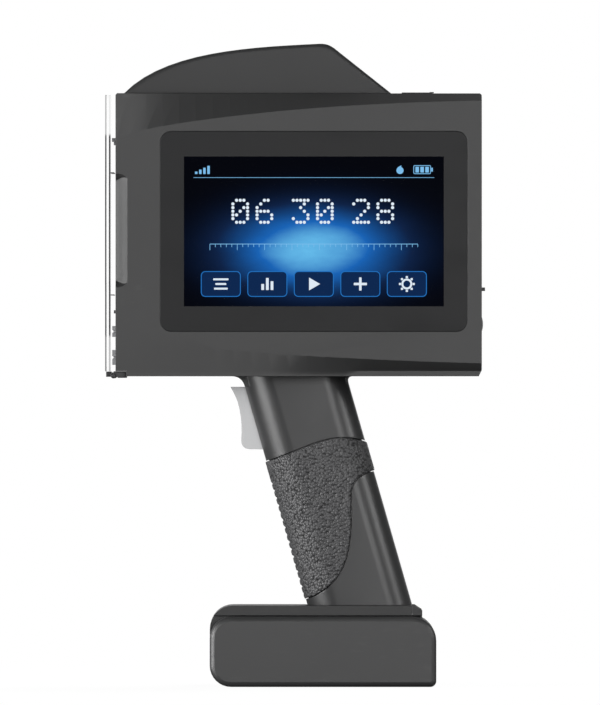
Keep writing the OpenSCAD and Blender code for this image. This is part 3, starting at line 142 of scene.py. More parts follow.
class Graph:
    """Node tree of a material or of the world, built from expressions."""

    MIX_FEEDS = (0, 6, 7)
    MIX_RESULT = 2

    def __init__(self, owner: Union[bpy.types.Material, bpy.types.World]) -> None:
        """Empties the owner's tree.

        Args:
            owner: The material or world that holds the tree.
        """
        owner.use_nodes = True
        self.owner = owner
        self.tree = owner.node_tree
        self.tree.nodes.clear()

    def node(self, kind: str, feeds: dict[Key, Feed] | None = None, out: Key = 0, **settings: object) -> Wire:
        """Adds any node.

        Args:
            kind: Blender's type name of the node, without "ShaderNode".
            feeds: Values or wires by socket name or number.
            out: Name or number of the output that is handed on.
            settings: Attributes that are set before the sockets.

        Returns:
            The wire of the chosen output, or of the first input where a node has no output.
        """
        made = self.tree.nodes.new(f"ShaderNode{kind}")
        for key, value in settings.items():
            setattr(made, key, value)
        for key, value in (feeds or {}).items():
            if isinstance(value, Wire):
                self.tree.links.new(value.socket, made.inputs[key])
            else:
                made.inputs[key].default_value = value
        return Wire(self, made.outputs[out] if made.outputs else made.inputs[0])

    def place(self) -> Wire:
        """Object coordinates."""
        return self.node("TexCoord", out="Object")

    def along(self, axis: Axis) -> Wire:
        """One object coordinate in metres."""
        return self.node("SeparateXYZ", {0: self.place()}, axis.value)

    def ray(self, kind: str) -> Wire:
        """1 for rays of a kind, such as "Is Camera Ray"."""
        return self.node("LightPath", out=kind)

    def seen(self) -> Wire:
        """1 for rays that come from the camera, straight or through a clear sheet."""
        return self.ray("Is Camera Ray").most(self.ray("Is Transmission Ray"))

    def noise(self, scale: float, detail: float = 2.0, stretch: Sequence[float] = (1.0, 1.0, 1.0)) -> Wire:
        """Noise of about 0.5, with features per metre, finer octaves and a scale of each axis."""
        place = self.node("Mapping", {"Vector": self.place(), "Scale": tuple(stretch)})
        return self.node("TexNoise", {"Vector": place, "Scale": scale, "Detail": detail})

    def mix(self, amount: Feed, first: Union[Wire, Colour], second: Union[Wire, Colour],
            blend: str = "MIX") -> Wire:
        """Blend of two colours.

        Args:
            amount: 0 for the first colour, 1 for the second.
            first: First colour.
            second: Second colour.
            blend: Blender's name of the way they mix.

        Returns:
            The wire of the blended colour.
        """
        ends = [value if isinstance(value, Wire) else (*value, 1.0) for value in (first, second)]
        feeds = dict(zip(self.MIX_FEEDS, (amount, *ends)))
        return self.node("Mix", feeds, self.MIX_RESULT, data_type="RGBA", blend_type=blend)

    def shade(self, colour: Colour, level: Wire) -> Wire:
        """A colour made lighter or darker by a factor that varies."""
        grey = self.node("CombineXYZ", dict.fromkeys(range(3), level))
        return self.mix(1.0, colour, grey, "MULTIPLY")

    def ramp(self, value: Wire, stops: Sequence[tuple[float, Colour]]) -> Wire:
        """Colour that runs through stops.

        Args:
            value: Place on the ramp, from 0 to 1.
            stops: Place and colour of each stop, first to last.

        Returns:
            The wire of the colour.
        """
        made = self.node("ValToRGB", {0: value})
        elements = made.socket.node.color_ramp.elements
        while len(elements) < len(stops):
            elements.new(1.0)
        for element, (place, colour) in zip(elements, stops):
            element.position = place
            element.color = (*colour, 1.0)
        return made

    def bump(self, height: Wire, depth: float, edge: float = 0.0) -> Wire:
        """Normal of a relief, over edges that are softened by a radius.

        Args:
            height: Relief from 0 to 1.
            depth: Full height of the relief in metres.
            edge: Radius that the shading gives to sharp edges.

        Returns:
            The wire of the bent normal.
        """
        feeds: dict[Key, Feed] = {"Height": height, "Distance": depth, "Strength": 1.0}
        if edge:
            feeds["Normal"] = self.node("Bevel", {"Radius": edge}, samples=6)
        return self.node("Bump", feeds)

    def surface(self, feeds: dict[str, Feed]) -> None:
        """Closes the tree with a Principled shader.

        Args:
            feeds: Constants and wires by socket name.
        """
        colours = ("Base Color", "Emission Color")
        opened = {key: (*value, 1.0) if key in colours and not isinstance(value, Wire) else value
                  for key, value in feeds.items()}
        self.node("OutputMaterial", {0: self.node("BsdfPrincipled", opened)})

    def glow(self, colour: Wire, roughness: Wire) -> None:
        """Closes the tree with a shader that gives light and reflects none."""
        black = {"Base Color": (0.0, 0.0, 0.0), "Specular IOR Level": 0.0, "Emission Strength": 1.0}
        self.surface({**black, "Roughness": roughness, "Emission Color": colour})


@dataclass(frozen=True)
class Finish:
    """Look of a surface, as a material that is built when it is first asked for."""

    name: str

    @cached_property
    def graph(self) -> Graph:
        """Tree of the material."""
        return Graph(bpy.data.materials.new(self.name))

    @cached_property
    def material(self) -> bpy.types.Material:
        """Material with its shader."""
        self.paint()
        return self.graph.owner

    def paint(self) -> None:
        """Builds the shader."""
        raise NotImplementedError


@dataclass(frozen=True)
class Moulded(Finish):
    """Moulded plastic: spark-eroded grain, cloudy shade and faint rub marks."""

    colour: Colour
    roughness: float = 0.5
    gloss: float = 0.5
    grain: float = 0.3 * MM
    depth: float = 0.014 * MM
    cloud: float = 0.05
    rub: float = 0.12
    edge: float = 0.35 * MM
    speckle: float = 0.22
    cloud_scale: float = 24.0
    mark_scale: float = 150.0
    patch_scale: float = 13.0

    def paint(self) -> None:
        """Builds the shader."""
        graph = self.graph
        cloud = graph.noise(self.cloud_scale, 3.0) - 0.5
        fine = graph.noise(1.0 / self.grain, 2.0)
        patch = graph.noise(self.patch_scale).step(0.5, 0.68)
        marks = graph.noise(self.mark_scale, 5.0, (1.0, 1.0, 5.0)).step(0.60, 0.72) * patch
        level = 1.0 + cloud * (2.0 * self.cloud) + (fine - 0.5) * self.speckle + marks * self.rub
        graph.surface({
            "Base Color": graph.shade(self.colour, level),
            "Roughness": self.roughness + cloud * 0.12 + (fine - 0.5) * 0.10 - marks * 0.10,
            "Specular IOR Level": self.gloss,
            "Normal": graph.bump(fine, self.depth, self.edge)})


@dataclass(frozen=True)
class Rubber(Finish):
    """Matt rubber with a pale bloom that gathers in patches."""

    colour: Colour
    bloom: Colour
    roughness: float = 0.55
    grain: float = 0.16 * MM
    depth: float = 0.012 * MM
    gloss: float = 0.4
    pebble: float = 0.0
    bloom_scale: float = 260.0
    # Colour factor of the painted shade in the valleys between pebbles.
    valley_shade: float = 0.4

    def paint(self) -> None:
        """Builds the shader, with pebbles of the given pitch where there is one, and painted shade in the
        valleys between them.
        """
        graph = self.graph
        fine = graph.noise(1.0 / self.grain, 3.0)
        bloom = graph.noise(self.bloom_scale, 4.0).step(0.42, 0.78)
        height, depth, colour = fine, self.depth, graph.mix(bloom, self.colour, self.bloom)
        if self.pebble:
            warp = graph.node("Mapping", {"Vector": graph.place(), "Scale": (1.0, 1.0, 0.8)})
            reach = graph.node("TexVoronoi", {"Vector": warp, "Scale": 1.0 / self.pebble}, "Distance")
            height, depth = 1.0 - reach * reach * 1.5 + fine * 0.10, 0.30 * self.pebble
            # Painted shade: the colour darkens towards the valleys between pebbles.
            dark = tuple(part * self.valley_shade for part in self.colour)
            colour = graph.mix(reach.step(0.75, 0.45), dark, colour)
        graph.surface({
            "Base Color": colour,
            "Roughness": self.roughness + (fine - 0.5) * 0.16 + bloom * 0.08,
            "Specular IOR Level": self.gloss,
            "Normal": graph.bump(height, depth)})


@dataclass(frozen=True)
class Metal(Finish):
    """Turned, drawn or plated metal with fine lines and dull patches."""

    colour: Colour
    roughness: float = 0.28
    stretch: tuple[float, float, float] = (1.0, 30.0, 1.0)
    depth: float = 0.004 * MM
    edge: float = 0.1 * MM
    line_scale: float = 700.0
    dull_scale: float = 110.0

    def paint(self) -> None:
        """Builds the shader."""
        graph = self.graph
        lines = graph.noise(self.line_scale, 2.0, self.stretch)
        dull = graph.noise(self.dull_scale, 3.0).step(0.45, 0.8)
        graph.surface({
            "Base Color": graph.shade(self.colour, 1.0 - dull * 0.25), "Metallic": 1.0,
            "Roughness": self.roughness + (lines - 0.5) * 0.16 + dull * 0.12,
            "Normal": graph.bump(lines, self.depth, self.edge)})


@dataclass(frozen=True)
class CoverGlass(Finish):
    """Touch glass: a black-printed border round a clear window, with finger marks."""

    border: Colour
    centre: Span
    window: Span
    clear: float = 0.02
    roughness: float = 0.42
    gloss: float = 0.2
    depth: float = 0.002 * MM
    edge: float = 0.3 * MM
    blur: float = 0.1 * MM
    smear_scale: float = 34.0
    speck_scale: float = 2600.0

    def paint(self) -> None:
        """Builds the shader."""
        graph = self.graph
        side = abs(graph.along(Axis.X) - self.centre[0]) - self.window[0] / 2
        rise = abs(graph.along(Axis.Z) - self.centre[1]) - self.window[1] / 2
        printed = side.most(rise).step(-self.blur, self.blur)
        smear = graph.noise(self.smear_scale, 4.0, (1.0, 1.0, 2.2)).step(0.48, 0.75)
        speck = graph.noise(self.speck_scale, 1.0)
        graph.surface({
            "Base Color": graph.shade(self.border, 1.0 + (speck - 0.5) * 0.12 + smear * 0.05),
            "Roughness": self.roughness + smear * 0.10 + (speck - 0.5) * 0.05,
            "Specular IOR Level": self.gloss,
            "Alpha": self.clear + printed * (1.0 - self.clear),
            "Normal": graph.bump(speck, self.depth, self.edge)})


@dataclass(frozen=True)
class ClearSheet(Finish):
    """Clear plastic sheet: nearly invisible on its faces, with painted dark lines along its cut edge.

    The painted lines stand in for the shade a clear sheet shows along an edge seen edge-on; they run along
    the front and back of the near edge and weaken outside a band of heights.
    """

    colour: Colour
    # Colour of the painted shade lines along the cut edge.
    edge_shade: Colour
    low: Vector
    high: Vector
    band: Span
    corner: float = 3.0 * MM
    lip_height: float = 165.8 * MM
    lip_ends: Span = (21.1 * MM, 17.6 * MM)
    rim: Span = (-0.24 * MM, -0.10 * MM)
    near: Span = (-2.0 * MM, -4.0 * MM)
    front: Span = (-0.40, -0.54)
    back: Span = (0.30, 0.44)
    fade: float = 1.5 * MM
    depth: float = 0.002 * MM
    scratch_scale: float = 900.0
    haze_scale: float = 40.0

    def paint(self) -> None:
        """Builds the shader."""
        graph = self.graph
        cut = self.outline().step(*self.rim)
        near = cut * graph.along(Axis.Y).step(*self.near)
        middle = (self.low.x + self.high.x) / 2
        sway = (graph.along(Axis.X) - middle) / ((self.high.x - self.low.x) / 2)
        height = graph.along(Axis.Z)
        above = height.step(self.band[1], self.band[1] + self.fade)
        below = height.step(self.band[0], self.band[0] - self.fade)
        front = near * sway.step(*self.front)
        back = near * sway.step(*self.back)
        # Painted shade: dark lines near the front and back of the near edge, weaker above and below the band
        # of heights.
        line = front * (1.0 - above * 0.5 - below * 0.2) + back * (1.0 - above * 0.9 - below * 0.5)
        scratch = graph.noise(self.scratch_scale, 4.0, (1.0, 6.0, 1.0)).step(0.62, 0.72) * (1.0 - cut)
        haze = graph.noise(self.haze_scale, 3.0)
        graph.surface({
            "Base Color": graph.mix(front + back, self.colour, self.edge_shade),
            "Roughness": 0.08 + haze * 0.08 + scratch * 0.25, "Specular IOR Level": 0.4,
            "Alpha": 0.012 + line * 0.93 + cut * 0.038 + scratch * 0.02 + haze * 0.01,
            "Normal": graph.bump(scratch, self.depth)})

    def outline(self) -> Wire:
        """Distance to the sheet's rounded outline with its finger lip, below 0 inside.

        Returns:
            The wire of the distance in metres.
        """
        half, middle = self.high.y, (self.low.z + self.high.z) / 2
        across, height = self.graph.along(Axis.Y), self.graph.along(Axis.Z)
        foot, top = self.lip_ends
        rise = (abs(height - self.lip_height) - foot) / (top - foot)
        lip = rise.most(0.0).least(1.0) * (-self.low.y - half)
        side = (across.most(0.0 - across - lip) - (half - self.corner)).most(0.0)
        end = (abs(height - middle) - (self.high.z - middle - self.corner)).most(0.0)
        return (side * side + end * end).root() - self.corner


@dataclass(frozen=True)
class Glow(Finish):
    """Lit picture elements behind the glass, with a fine pixel grid."""

    colour: Colour
    pitch: float = 0.2 * MM
    gap: float = 0.18

    def paint(self) -> None:
        """Builds the shader."""
        graph = self.graph
        grid = {"Vector": graph.place(), "Scale": 1.0 / self.pitch, "Randomness": 0.0}
        cell = graph.node("TexVoronoi", grid, "Distance", distance="CHEBYCHEV")
        level = 1.0 - cell.step(0.36, 0.5) * self.gap
        graph.glow(graph.shade(self.colour, level), 0.9 + cell * 0.1)


@dataclass(frozen=True)
class Picture(Finish):
    """Dark screen picture: an azure light low in the middle that sinks to navy and black."""

    centre: Span
    size: Span
    night: Colour = (0.0006, 0.0010, 0.0030)
    navy: Colour = (0.004, 0.016, 0.060)
    azure: Colour = (0.010, 0.130, 0.480)
    bright: Colour = (0.150, 0.560, 0.900)
    drop: float = 0.12
    squeeze: Span = (5.0, 7.0)
    fall: float = 3.2
    veil_scale: float = 60.0

    def paint(self) -> None:
        """Builds the shader."""
        graph = self.graph
        across = (graph.along(Axis.X) - self.centre[0]) / self.size[0]
        rise = (graph.along(Axis.Z) - self.centre[1]) / self.size[1] + self.drop
        away = across * across * self.squeeze[0] + rise * rise * self.squeeze[1]
        veil = graph.noise(self.veil_scale, 4.0, (1.0, 1.0, 2.4))
        light = (away * -self.fall).exp() * (0.72 + veil * 0.5)
        stops = ((0.0, self.night), (0.10, self.navy), (0.48, self.azure), (1.0, self.bright))
        graph.glow(graph.ramp(light, stops), 0.5 + veil * 0.1)


@dataclass(frozen=True)
class Board(Finish):
    """Green solder resist over copper tracks."""

    resist: Colour = (0.012, 0.105, 0.045)
    track: Colour = (0.040, 0.190, 0.075)
    depth: float = 0.03 * MM
    lane_scale: float = 320.0
    patch_scale: float = 70.0

    def paint(self) -> None:
        """Builds the shader."""
        graph = self.graph
        flat = graph.node("Mapping", {"Vector": graph.place(), "Rotation": UPRIGHT})
        bricks = {"Vector": flat, "Scale": self.lane_scale, "Mortar Size": 0.06}
        patch = graph.noise(self.patch_scale, 2.0).step(0.45, 0.6)
        copper = graph.node("TexBrick", bricks, "Fac", offset=0.35) * patch
        graph.surface({
            "Base Color": graph.mix(copper, self.resist, self.track),
            "Roughness": 0.32 + patch * 0.08, "Specular IOR Level": 0.5,
            "Normal": graph.bump(copper, self.depth)})


def deselect() -> None:
    """Leaves edit mode and deselects everything."""
    if bpy.context.mode != "OBJECT":
        bpy.ops.object.mode_set(mode="OBJECT")
    bpy.ops.object.select_all(action="DESELECT")


def take(piece: Piece) -> None:
    """Makes a piece the only one selected.

    Args:
        piece: The object to work on.
    """
    deselect()
    piece.select_set(True)
    bpy.context.view_layer.objects.active = piece


def edit(piece: Piece) -> None:
    """Opens a piece in edit mode with all of it selected.

    Args:
        piece: The object to work on.
    """
    take(piece)
    bpy.ops.object.mode_set(mode="EDIT")
    bpy.ops.mesh.select_all(action="SELECT")


def close_edit() -> None:
    """Turns the faces of the opened piece outwards and leaves edit mode."""
    bpy.ops.mesh.select_all(action="SELECT")
    bpy.ops.mesh.normals_make_consistent(inside=False)
    deselect()


def add_object(name: str, data: bpy.types.ID) -> Piece:
    """Puts a new object into the scene.

    Args:
        name: Its name.
        data: Its mesh, light or camera.

    Returns:
        The new object.
    """
    made = bpy.data.objects.new(name, data)
    bpy.context.scene.collection.objects.link(made)
    return made


def settle(piece: Piece, name: str) -> Piece:
    """Puts a piece's place, turn and size into its mesh.

    Args:
        piece: The modelled object.
        name: Its name among the pieces.

    Returns:
        The same object at the origin.
    """
    take(piece)
    bpy.ops.object.transform_apply(location=True, rotation=True, scale=True)
    piece.name = name
    piece.data.name = name
    return piece


def weld(pieces: Sequence[Piece], name: str) -> Piece:
    """Joins pieces into one object.

    Args:
        pieces: Objects to join, at least one.
        name: Name of the joined piece.

    Returns:
        The joined object at the origin.
    """
    take(pieces[0])
    for piece in pieces[1:]:
        piece.select_set(True)
    if len(pieces) > 1:
        bpy.ops.object.join()
    return settle(pieces[0], name)


def apply_modifier(piece: Piece, kind: str, **settings: object) -> None:
    """Adds a modifier and applies it.

    Args:
        piece: The object to change.
        kind: Blender's type name of the modifier.
        settings: Attributes of the modifier.
    """
    take(piece)
    modifier = piece.modifiers.new(kind.lower(), kind)
    for key, value in settings.items():
        setattr(modifier, key, value)
    bpy.ops.object.modifier_apply(modifier=modifier.name)


def copy_node(node: str, name: str) -> Piece:
    """Copies a CAD node's mesh into a new piece with its doubles merged.

    Args:
        node: Name of the CAD node.
        name: Name of the new piece.

    Returns:
        The new object.
    """
    piece = add_object(name, frame["nodes"][node].data.copy())
    take(piece)
    bpy.ops.mesh.customdata_custom_splitnormals_clear()
    edit(piece)
    bpy.ops.mesh.remove_doubles(threshold=SAME_POINT)
    bpy.ops.mesh.select_all(action="DESELECT")
    deselect()
    return piece


def smooth_node(node: str, kink: float, weigh: bool) -> Piece:
    """Copies a CAD node and shades its curved faces smooth, with flat faces kept crisp.

    Args:
        node: Name of the CAD node that the copy stands for.
        kink: Angle from which the edge of a flat face stays sharp.
        weigh: Whether large faces keep their own shading up to a rounded edge.

    Returns:
        The new piece.
    """
    piece = copy_node(node, f"{node}_smooth")
    take(piece)
    bpy.ops.object.shade_smooth()
    bpy.context.tool_settings.mesh_select_mode = (False, False, True)
    for face in piece.data.polygons:
        face.select = max(abs(part) for part in face.normal) > SQUARE_FACE
    bpy.ops.object.mode_set(mode="EDIT")
    bpy.ops.mesh.region_to_loop()
    bpy.ops.mesh.mark_sharp()
    bpy.ops.mesh.select_mode(type="EDGE")
    for angle, ease in ((kink, True), (CREASE, False)):
        bpy.ops.mesh.select_all(action="DESELECT")
        bpy.ops.mesh.edges_select_sharp(sharpness=angle)
        if ease:
            bpy.ops.mesh.select_all(action="INVERT")
        bpy.ops.mesh.mark_sharp(clear=ease)
    deselect()
    if weigh:
        apply_modifier(piece, "WEIGHTED_NORMAL", mode="FACE_AREA", weight=100, keep_sharp=True)
    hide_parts(node)
    return piece


@dataclass(frozen=True)
class Coil:
    """Coil springs that stand for a CAD node of tubes, with the joint that they belong to; they do not
    shorten with it.
    """

    node: str
    joint: str
    travel: float
    axis: Axis
    seat: float
    wire: float = 0.4 * MM
    turns: int = 3
    sides: int = 10
    steps: int = 28
    crease: float = math.radians(50)

    def piece(self) -> Piece:
        """Winds one spring, or one at each end of the node's width, inside the node's box.

        Returns:
            The springs as one piece.
        """
        low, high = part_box(self.node)
        upright = self.axis is Axis.Z
        radius = (high.x - low.x) / 2 if upright else (high.z - low.z) / 2
        reach = (high.y - low.y) / 2 - radius
        rise = self.length() - self.wire
        made = []
        for shift in (-reach, reach) if reach > radius else (0.0,):
            deselect()
            bpy.ops.mesh.primitive_circle_add(vertices=self.sides, radius=self.wire / 2, rotation=UPRIGHT)
            spring = bpy.context.object
            bpy.ops.object.transform_apply(location=False, rotation=True, scale=False)
            edit(spring)
            bpy.ops.transform.translate(value=(radius - self.wire / 2, 0.0, -rise / 2))
            apply_modifier(spring, "SCREW", iterations=self.turns, screw_offset=rise / self.turns,
                           steps=self.steps, render_steps=self.steps)
            edit(spring)
            bpy.ops.mesh.fill_holes(sides=0)
            close_edit()
            spring.location = (low + high) / 2 + Vector((0.0, shift, 0.0))
            spring.rotation_euler = (0.0, 0.0 if upright else math.pi / 2, 0.0)
            made.append(spring)
        coil = weld(made, f"{self.node}_coil")
        bpy.ops.object.shade_smooth_by_angle(angle=self.crease)
        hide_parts(self.node)
        return coil

    def length(self) -> float:
        """Length at rest."""
        low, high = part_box(self.node)
        return high[self.axis.value] - low[self.axis.value]

    def shorten(self, coil: Piece) -> None:
        """Works out the seated end and the axis of the springs, which are not used, and gives them a mesh of
        their own.

        Args:
            coil: The springs as one piece.
        """
        low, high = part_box(self.node)
        anchor, way = (low + high) / 2, Vector()
        anchor[self.axis.value] = self.seat
        way[self.axis.value] = 1.0
        0.98 - self.travel / self.length()
        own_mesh(coil)


Coats = tuple[tuple[Union[Finish, str], ...], ...]


class SubAssembly:
    """Group of CAD nodes and new pieces that are dressed together."""

    coats: Coats = ()

    def build(self) -> None:
        """Dresses the CAD nodes that keep their own mesh."""
        for finish, *nodes in self.coats:
            self.coat(finish, *nodes)

    def coat(self, finish: Finish, *nodes: str) -> None:
        """Gives CAD nodes a finish.

        Args:
            finish: Look of all these nodes.
            nodes: Names of the CAD nodes.
        """
        for node in nodes:
            slots = frame["nodes"][node].material_slots
            if slots:
                slots[0].material = finish.material
            else:
                frame["nodes"][node].data.materials.append(finish.material)
            LOG.info("node %s: %s", node, finish.name)

    def shell(self, finish: Finish, body: Body, slot: str, *nodes: str, kink: float = math.radians(17.0),
              weigh: bool = True) -> None:
        """Replaces CAD nodes by copies with smooth curved faces.

        Args:
            finish: Look of all these pieces.
            body: The body that carries them.
            slot: Name of a material slot, handed on to place.
            nodes: Names of the CAD nodes.
            kink: Angle from which the edge of a flat face stays sharp.
            weigh: Whether large faces keep their own shading up to a rounded edge.
        """
        for node in nodes:
            self.place(smooth_node(node, kink, weigh), finish, body, slot)

    def place(self, piece: Piece, finish: Finish, body: Body, slot: str) -> None:
        """Coats a new piece and lets it ride on a body.

        Args:
            piece: The settled piece.
            finish: Its look.
            body: The body that carries it.
            slot: Name of a material slot; not used.
        """
        piece.data.materials.clear()
        piece.data.materials.append(finish.material)
        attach(piece, body.value)
        LOG.info("piece %s: %d faces on %s", piece.name, len(piece.data.polygons), body.value)

    def spring(self, coil: Coil, body: Body) -> None:
        """Places springs on a body and gives them a mesh of their own.

        Args:
            coil: Their measure.
            body: The body that carries their seat.
        """
        piece = coil.piece()
        self.place(piece, Metal(f"{coil.node}_steel", (0.60, 0.61, 0.62), 0.3), body, "spring_steel")
        coil.shorten(piece)


@dataclass
class Housing(SubAssembly):
    """Two shells, the end panels and their fasteners."""

    plastic: Colour = (0.019, 0.0192, 0.0195)
    coats: Coats = (
        (Moulded("panel_black", (0.018, 0.018, 0.019), 0.45), "front_panel", "rear_panel"),
        (Metal("screw_black", (0.05, 0.05, 0.052), 0.42),
         "housing_screws", "handle_screws", "foot_screws", "battery_case_screws"))

    def build(self) -> None:
        """Dresses the shells, panels and screws."""
        self.shell(Moulded("shell_charcoal", self.plastic, gloss=0.56), Body.PRINTER, "body_shell",
                   "left_housing", "right_housing")
        super().build()


@dataclass
class Controls(SubAssembly):
    """Rear button and slider, port flap and port."""

    coats: Coats = (
        (Moulded("button_satin", (0.075, 0.076, 0.079), 0.36, 0.45), "power_button"),
        (Moulded("slider_black", (0.012, 0.012, 0.013), 0.5), "switch_slider"),
        (Rubber("flap_rubber", (0.018, 0.018, 0.019), (0.030, 0.030, 0.031)), "port_flap"),
        (Metal("port_nickel", (0.62, 0.62, 0.60), 0.3), "usb_port"))


@dataclass
class Electronics(SubAssembly):
    """Main board, switches, sensor and wiring inside the shells."""

    coats: Coats = (
        (Board("board_green"), "main_board"),
        (Moulded("chip_black", (0.016, 0.016, 0.017), 0.55),
         "board_components", "encoder_sensor", "power_switch", "trigger_switch"),
        (Metal("switch_tin", (0.55, 0.55, 0.54), 0.4), "slide_switch"),
        (Metal("screw_zinc", (0.66, 0.67, 0.68), 0.32), "board_screws"),
        (Rubber("wire_black", (0.012, 0.012, 0.013), (0.02, 0.02, 0.021)), "battery_harness"))


@dataclass
class CartridgeBay(SubAssembly):
    """Hinged cover over the ink cartridge, its stall and clamp."""

    cover: Colour = (0.017, 0.0172, 0.0176)
    coats: Coats = (
        (Moulded("stall_black", (0.026, 0.026, 0.028), 0.55), "cartridge_stall"),
        (Moulded("cartridge_black", (0.020, 0.021, 0.024), 0.32, 0.5), "ink_cartridge"),
        (Moulded("clamp_grey", (0.16, 0.163, 0.17), 0.42), "cartridge_clamp"),
        (Moulded("contact_black", (0.014, 0.014, 0.016), 0.4), "contact_block"),
        (Metal("nozzle_gold", (0.62, 0.43, 0.16), 0.3, (1.0, 1.0, 20.0)), "nozzle_plate"),
        (Metal("pin_steel", (0.70, 0.71, 0.72), 0.24, (30.0, 1.0, 1.0)), "cover_hinge_pin"),
        (Metal("pin_bright", (0.74, 0.75, 0.76), 0.22), "clamp_pin", "flap_hinge_pin"))

    def build(self) -> None:
        """Dresses the cover and what it hides."""
        self.shell(Moulded("cover_charcoal", self.cover, 0.5, 0.46), Body.COVER, "cover_shell",
                   "cartridge_cover")
        super().build()


@dataclass
class GuardAndRollers(SubAssembly):
    """Clear guard over the print face, its hinge and the guide rollers."""

    clear: Colour = (0.80, 0.81, 0.82)
    # Colour of the painted shade lines along the guard's cut edge, and the heights where they are at full
    # strength.
    edge_shade: Colour = (0.030, 0.030, 0.032)
    band: Span = (129 * MM, 201 * MM)
    rib: Colour = (0.16, 0.16, 0.165)
    rib_heights: Span = (188.0 * MM, 143.3 * MM)
    rib_size: tuple[float, float, float] = (1.3 * MM, 50 * MM, 0.32 * MM)
    rib_step: float = 0.55 * MM
    rib_edge: float = 0.06 * MM
    coats: Coats = (
        (Moulded("hinge_black", (0.014, 0.014, 0.015), 0.45), "guard_hinge_bracket", "guard_hinge_leaf"),
        (Metal("hinge_dark", (0.06, 0.06, 0.062), 0.4), "guard_hinge_pin"),
        (Moulded("catch_grey", (0.10, 0.102, 0.106), 0.45), "guard_catch"),
        (Rubber("roller_grey", (0.125, 0.126, 0.13), (0.14, 0.141, 0.144), 0.7, gloss=0.12),
         "near_rollers", "far_rollers"),
        (Metal("shaft_steel", (0.70, 0.71, 0.72), 0.25, (1.0, 1.0, 30.0)),
         "near_roller_shaft", "far_roller_shaft"),
        (Moulded("disc_black", (0.010, 0.010, 0.011), 0.4), "encoder_disc"))

    def build(self) -> None:
        """Dresses the guard and the rollers, and models the guard's stop ribs."""
        low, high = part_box("clear_guard")
        self.coat(ClearSheet("guard_clear", self.clear, self.edge_shade, low, high, self.band), "clear_guard")
        self.place(self.ribs(high.x), Moulded("rib_smoke", self.rib, 0.35), Body.GUARD, "clear_plastic")
        super().build()

    def ribs(self, back: float) -> Piece:
        """Thin ribs on the inside of the guard that stop it short of the housing.

        Args:
            back: X of the guard's inside.

        Returns:
            The joined ribs.
        """
        bars = []
        for height in self.rib_heights:
            deselect()
            bpy.ops.mesh.primitive_cube_add(size=1.0, location=(back + self.rib_step, 0.0, height),
                                            scale=self.rib_size)
            bars.append(bpy.context.object)
        ribs = weld(bars, "guard_ribs")
        apply_modifier(ribs, "BEVEL", width=self.rib_edge, segments=2)
        return ribs


